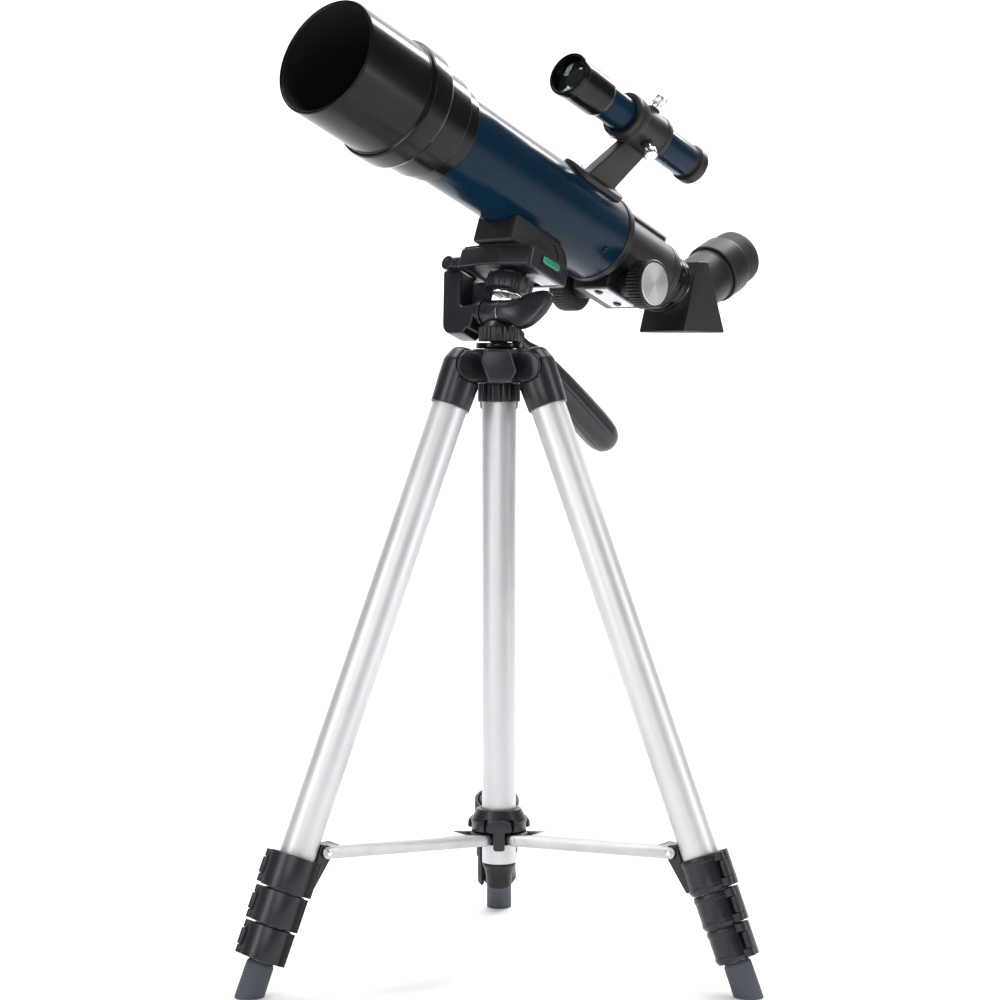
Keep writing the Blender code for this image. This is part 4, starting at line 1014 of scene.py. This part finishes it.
def build_diagonal():
    """Prism housing with its two barrels, and the eyepiece in it."""
    outline = [(-150.5, 362.0), (-165.5, 405.1), (-175.8, 405.1), (-193.0, 362.0)]
    body = side_prism(outline, -17.2, 17.2, 0.8, 1.0)
    show(body, "diagonal_case", UPRIGHT, "diagonal", "satin_black", nodes=["diagonal_housing"])
    collar = lathe([(16.0, 9.0), (17.0, 9.0), (17.0, 30.2), (16.7, 30.6), (16.7, 31.4), (17.0, 31.8),
        (17.0, 33.0), (16.0, 33.0)], 0.25, 144)
    show(collar, "diagonal_collar", EYE, "diagonal", "satin_black")
    nose = along_x(pipe(15.8, 14.4, -172.0, -150.0, 0.4, 128))
    show(nose, "diagonal_nose", TUBE, "diagonal", "chrome")
    screw = ribbed(3.0, 0.3, 17.0, 21.6, 24, 0.0, 0.4, 0.6)
    screw = moved(screw, Matrix.Translation((0, 0, 26.0)) @ Matrix.Rotation(math.radians(90.0), 4, "X"))
    show(screw, "diagonal_screw", EYE, "diagonal", "chrome")
    barrel = rod(15.75, 13.2, 34.0, 0.5, 128)
    show(barrel, "eyepiece_barrel", EYE, "eyepiece", "satin_black", "chrome")
    body = lathe([(0, 33.4), (18.2, 33.4), (18.8, 34.2, 0.6), (18.8, 49.2, 0.6), (18.2, 50.0), (17.3, 50.3),
        (17.3, 52.0), (0, 52.0)], 0.3, 144)
    show(body, "eyepiece_body", EYE, "eyepiece", "satin_black", nodes=["eyepiece"])
    cup = lathe([(10.5, 51.0), (17.2, 51.0), (17.3, 52.0), (17.3, 60.6, 1.5), (16.9, 63.2, 2.0),
        (15.9, 64.7, 0.5), (14.6, 64.3), (13.4, 61.4, 1.5), (10.5, 60.4)], 0.4, 144, 5)
    show(cup, "eyepiece_cup", EYE, "eyepiece", "satin_black", "grip_rubber")
    glass = lathe([(0, 57.0), (10.6, 57.0), (10.6, 59.4), (6.0, 60.6), (0, 61.0)], 0.2, 96)
    show(glass, "eye_lens", EYE, "eyepiece", "glass")


def build_finder():
    body = lathe([(11.2, -2.8), (12.7, -2.8), (13.0, -3.4), (13.0, -6.8), (12.5, -7.4), (12.4, -12.0),
        (12.2, -31.0), (11.6, -33.4, 0.8), (10.3, -34.2), (9.0, -34.2), (9.0, -12.0), (11.2, -11.0)], 0.3,
        128)
    on_finder(along_x(body), "finder_cell", "gloss_black", nodes=["finder_tube"])
    tube = along_x(pipe(10.3, 9.2, -118.0, -33.0, 0.2, 128))
    on_finder(tube, "finder_barrel", "tube_blue")
    glass = along_x(lathe([(0, -10.6), (11.1, -10.6), (11.1, -9.0), (6.0, -7.9), (0, -7.4)], 0.1, 96))
    on_finder(glass, "finder_objective", "glass")
    back = along_x(rod(9.1, -30.0, -29.0, 0.1, 64))
    on_finder(back, "finder_stop", "gloss_black", "inside_black")
    eye = lathe([(0, -118.3), (9.3, -118.3), (9.3, -121.4), (11.1, -122.0), (11.5, -122.8), (11.5, -128.0),
        (10.9, -128.6), (7.2, -128.6), (5.0, -126.2), (0, -125.8)], 0.3, 128)
    show(along_x(eye), "finder_eye_end", FINDER, "finder_eyepiece", "satin_black", nodes=["finder_eyepiece"])
    ring = lathe([(10.6, -89.0), (12.5, -89.0), (13.3, -88.4), (13.3, -85.4), (12.8, -84.8), (12.8, -65.2),
        (13.6, -64.4), (13.9, -63.4), (13.9, -60.4), (13.3, -59.6), (13.3, -58.8), (13.9, -58.0),
        (13.9, -55.8), (13.3, -55.0), (10.6, -55.0)], 0.3, 128)
    on_finder(along_x(ring), "finder_ring", "satin_black", nodes=["finder_bracket"])
    distance = (FINDER_POINT - TUBE_POINT).length / MM
    stalk = side_prism([(-55.5, -39.5), (-82.0, -39.5), (-81.0, -36.5, 4), (-87.0, -11.5), (-67.0, -11.5),
        (-57.5, -36.5, 4)], -3.2, 3.2, 0.9)
    saddle = prism([(-88.0, -11.0), (-42.0, -11.0), (-42.0, 11.0), (-88.0, 11.0)], -50.0, -34.0, 0.0, 9.5, 10)
    boolean(saddle, [shifted(along_x(rod(29.4, -150, 150, 0, 160)), 0, 0, -distance)], "INTERSECT")
    cut(saddle, shifted(along_x(rod(TUBE_BED, -150, 150, 0, 160)), 0, 0, -distance))
    on_finder(softened(saddle, 0.4, 2, 50.0), "finder_saddle", "satin_black", smooth=40.0)
    cut(stalk, along_x(rod(12.0, -100, -40, 0, 96)))
    on_finder(stalk, "finder_stalk", "satin_black")
    for k, u in enumerate((-84.8, -50.5), 1):
        screw = shifted(cross_screw(1.9, 1.0), u, 0, 29.3 - distance)
        on_finder(screw, f"saddle_screw_{k}", "chrome", smooth=40.0)
    for k, angle in enumerate((0.0, 120.0, 240.0), 1):
        turn = Matrix.Rotation(math.radians(-angle), 4, "X") @ Matrix.Translation((-75.0, 0.0, 0.0))
        boss = moved(pipe(3.8, 2.0, 11.6, 14.0, 0.3, 48), turn)
        on_finder(boss, f"finder_screw_boss_{k}", "satin_black")
        head = ribbed(4.0, 0.35, 16.4, 22.0, 30, 0.0, 0.5, 0.6)
        show(moved(head, turn), f"finder_thumb_{k}", FINDER, f"finder_screw_{k}", "chrome",
            nodes=[f"finder_screw_{k}"])
        stem = lathe([(0, 10.8), (1.8, 10.8), (1.8, 14.2), (2.9, 14.2), (2.9, 16.6), (0, 16.6)], 0.2, 40)
        show(moved(stem, turn), f"finder_stem_{k}", FINDER, f"finder_screw_{k}", "chrome")


# ---- stage, lights and camera


def area_light(name, place, target, size, power, colour=(1.0, 1.0, 1.0)):
    data = bpy.data.lights.new(name, "AREA")
    data.shape = "RECTANGLE"
    data.size, data.size_y = size
    data.energy = power
    data.color = colour
    lamp = bpy.data.objects.new(name, data)
    bpy.context.scene.collection.objects.link(lamp)
    lamp.location = place
    lamp.rotation_euler = (Vector(target) - Vector(place)).to_track_quat("-Z", "Y").to_euler()
    return lamp


def build_stage():
    """Seamless pale paper that curves up behind, with soft boxes round the object."""
    front, back, top, bend, half = -3.0, 1.9, 3.2, 0.9, 3.2
    profile = [(front, 0.0), (back - bend, 0.0)]
    profile += [(back - bend + bend * math.sin(t),
        bend - bend * math.cos(t)) for t in [math.pi / 2 * k / 12 for k in range(1, 12)]]
    profile += [(back, bend), (back, top)]
    bm = bmesh.new()
    rows = [[bm.verts.new((x, y, z)) for x in (-half, half)] for y, z in profile]
    for low, high in zip(rows, rows[1:]):
        bm.faces.new((low[0], low[1], high[1], high[0]))
    mesh = bpy.data.meshes.new("seamless_paper")
    bm.to_mesh(mesh)
    bm.free()
    mesh.shade_smooth()
    paper = bpy.data.objects.new("seamless_paper", mesh)
    bpy.context.scene.collection.objects.link(paper)
    look = surface("white_paper", (0.88, 0.88, 0.88), (0.90, 0.90, 0.90), (0.80, 0.90), 0.0, 60.0, 0.01,
        specular=0.1)
    mesh.materials.append(look)
    paper.location = (0.0, 0.0, -0.0004)
    world = bpy.data.worlds.new("studio")
    bpy.context.scene.world = world
    world.use_nodes = True
    sky = world.node_tree.nodes["Background"]
    sky.inputs["Color"].default_value = (1.0, 1.0, 1.0, 1.0)
    sky.inputs["Strength"].default_value = 0.16
    middle = (0.0, 0.0, 0.28)
    area_light("overhead", (0.0, 0.75, 2.3), (0.0, 0.85, 0.0), (2.4, 1.2), 44.0)
    area_light("backdrop", (0.0, 0.1, 2.6), (0.0, 1.9, 0.9), (3.0, 0.6), 52.0)
    area_light("soft_left", (-1.15, -0.9, 0.75), middle, (0.45, 1.3), 9.0)
    area_light("soft_right", (1.25, -0.55, 0.65), middle, (0.35, 1.4), 8.0)
    area_light("front", (-0.35, -1.9, 0.9), (0.0, 0.0, 0.2), (0.9, 0.9), 9.0)
    area_light("rim_strip", (0.75, 0.97, 1.30), (-0.09, -0.12, 0.50), (0.3, 0.8), 12.0)


def build_camera():
    """Eye level with the column, a little above the middle, looking slightly down."""
    data = bpy.data.cameras.new("camera")
    data.lens = 89.0
    data.sensor_width = 36.0
    camera = bpy.data.objects.new("camera", data)
    bpy.context.scene.collection.objects.link(camera)
    camera.location = CENTRE + Vector((0.00059, -1.3988, 0.3281))
    camera.rotation_euler = (math.radians(90.0 - 2.6), 0.0, 0.0)
    bpy.context.scene.camera = camera


def focus_knob_axes():
    """Axes of the pinion: Z along the shaft towards the near knob."""
    return axes(U, N.cross(U), N, joint_point("focus_knobs_turn"))


def main():
    for index in LEGS:
        build_leg(index)
    build_spider()
    build_column()
    build_brace()
    build_pan_body()
    build_handle()
    build_bracket()
    build_wing()
    build_platform()
    build_platform_screw()
    build_optics()
    build_mount_foot()
    build_focuser()
    build_diagonal()
    build_finder()
    build_stage()
    build_camera()
    bpy.context.scene.view_settings.view_transform = "Standard"


main()
bpy.context.view_layer.update()
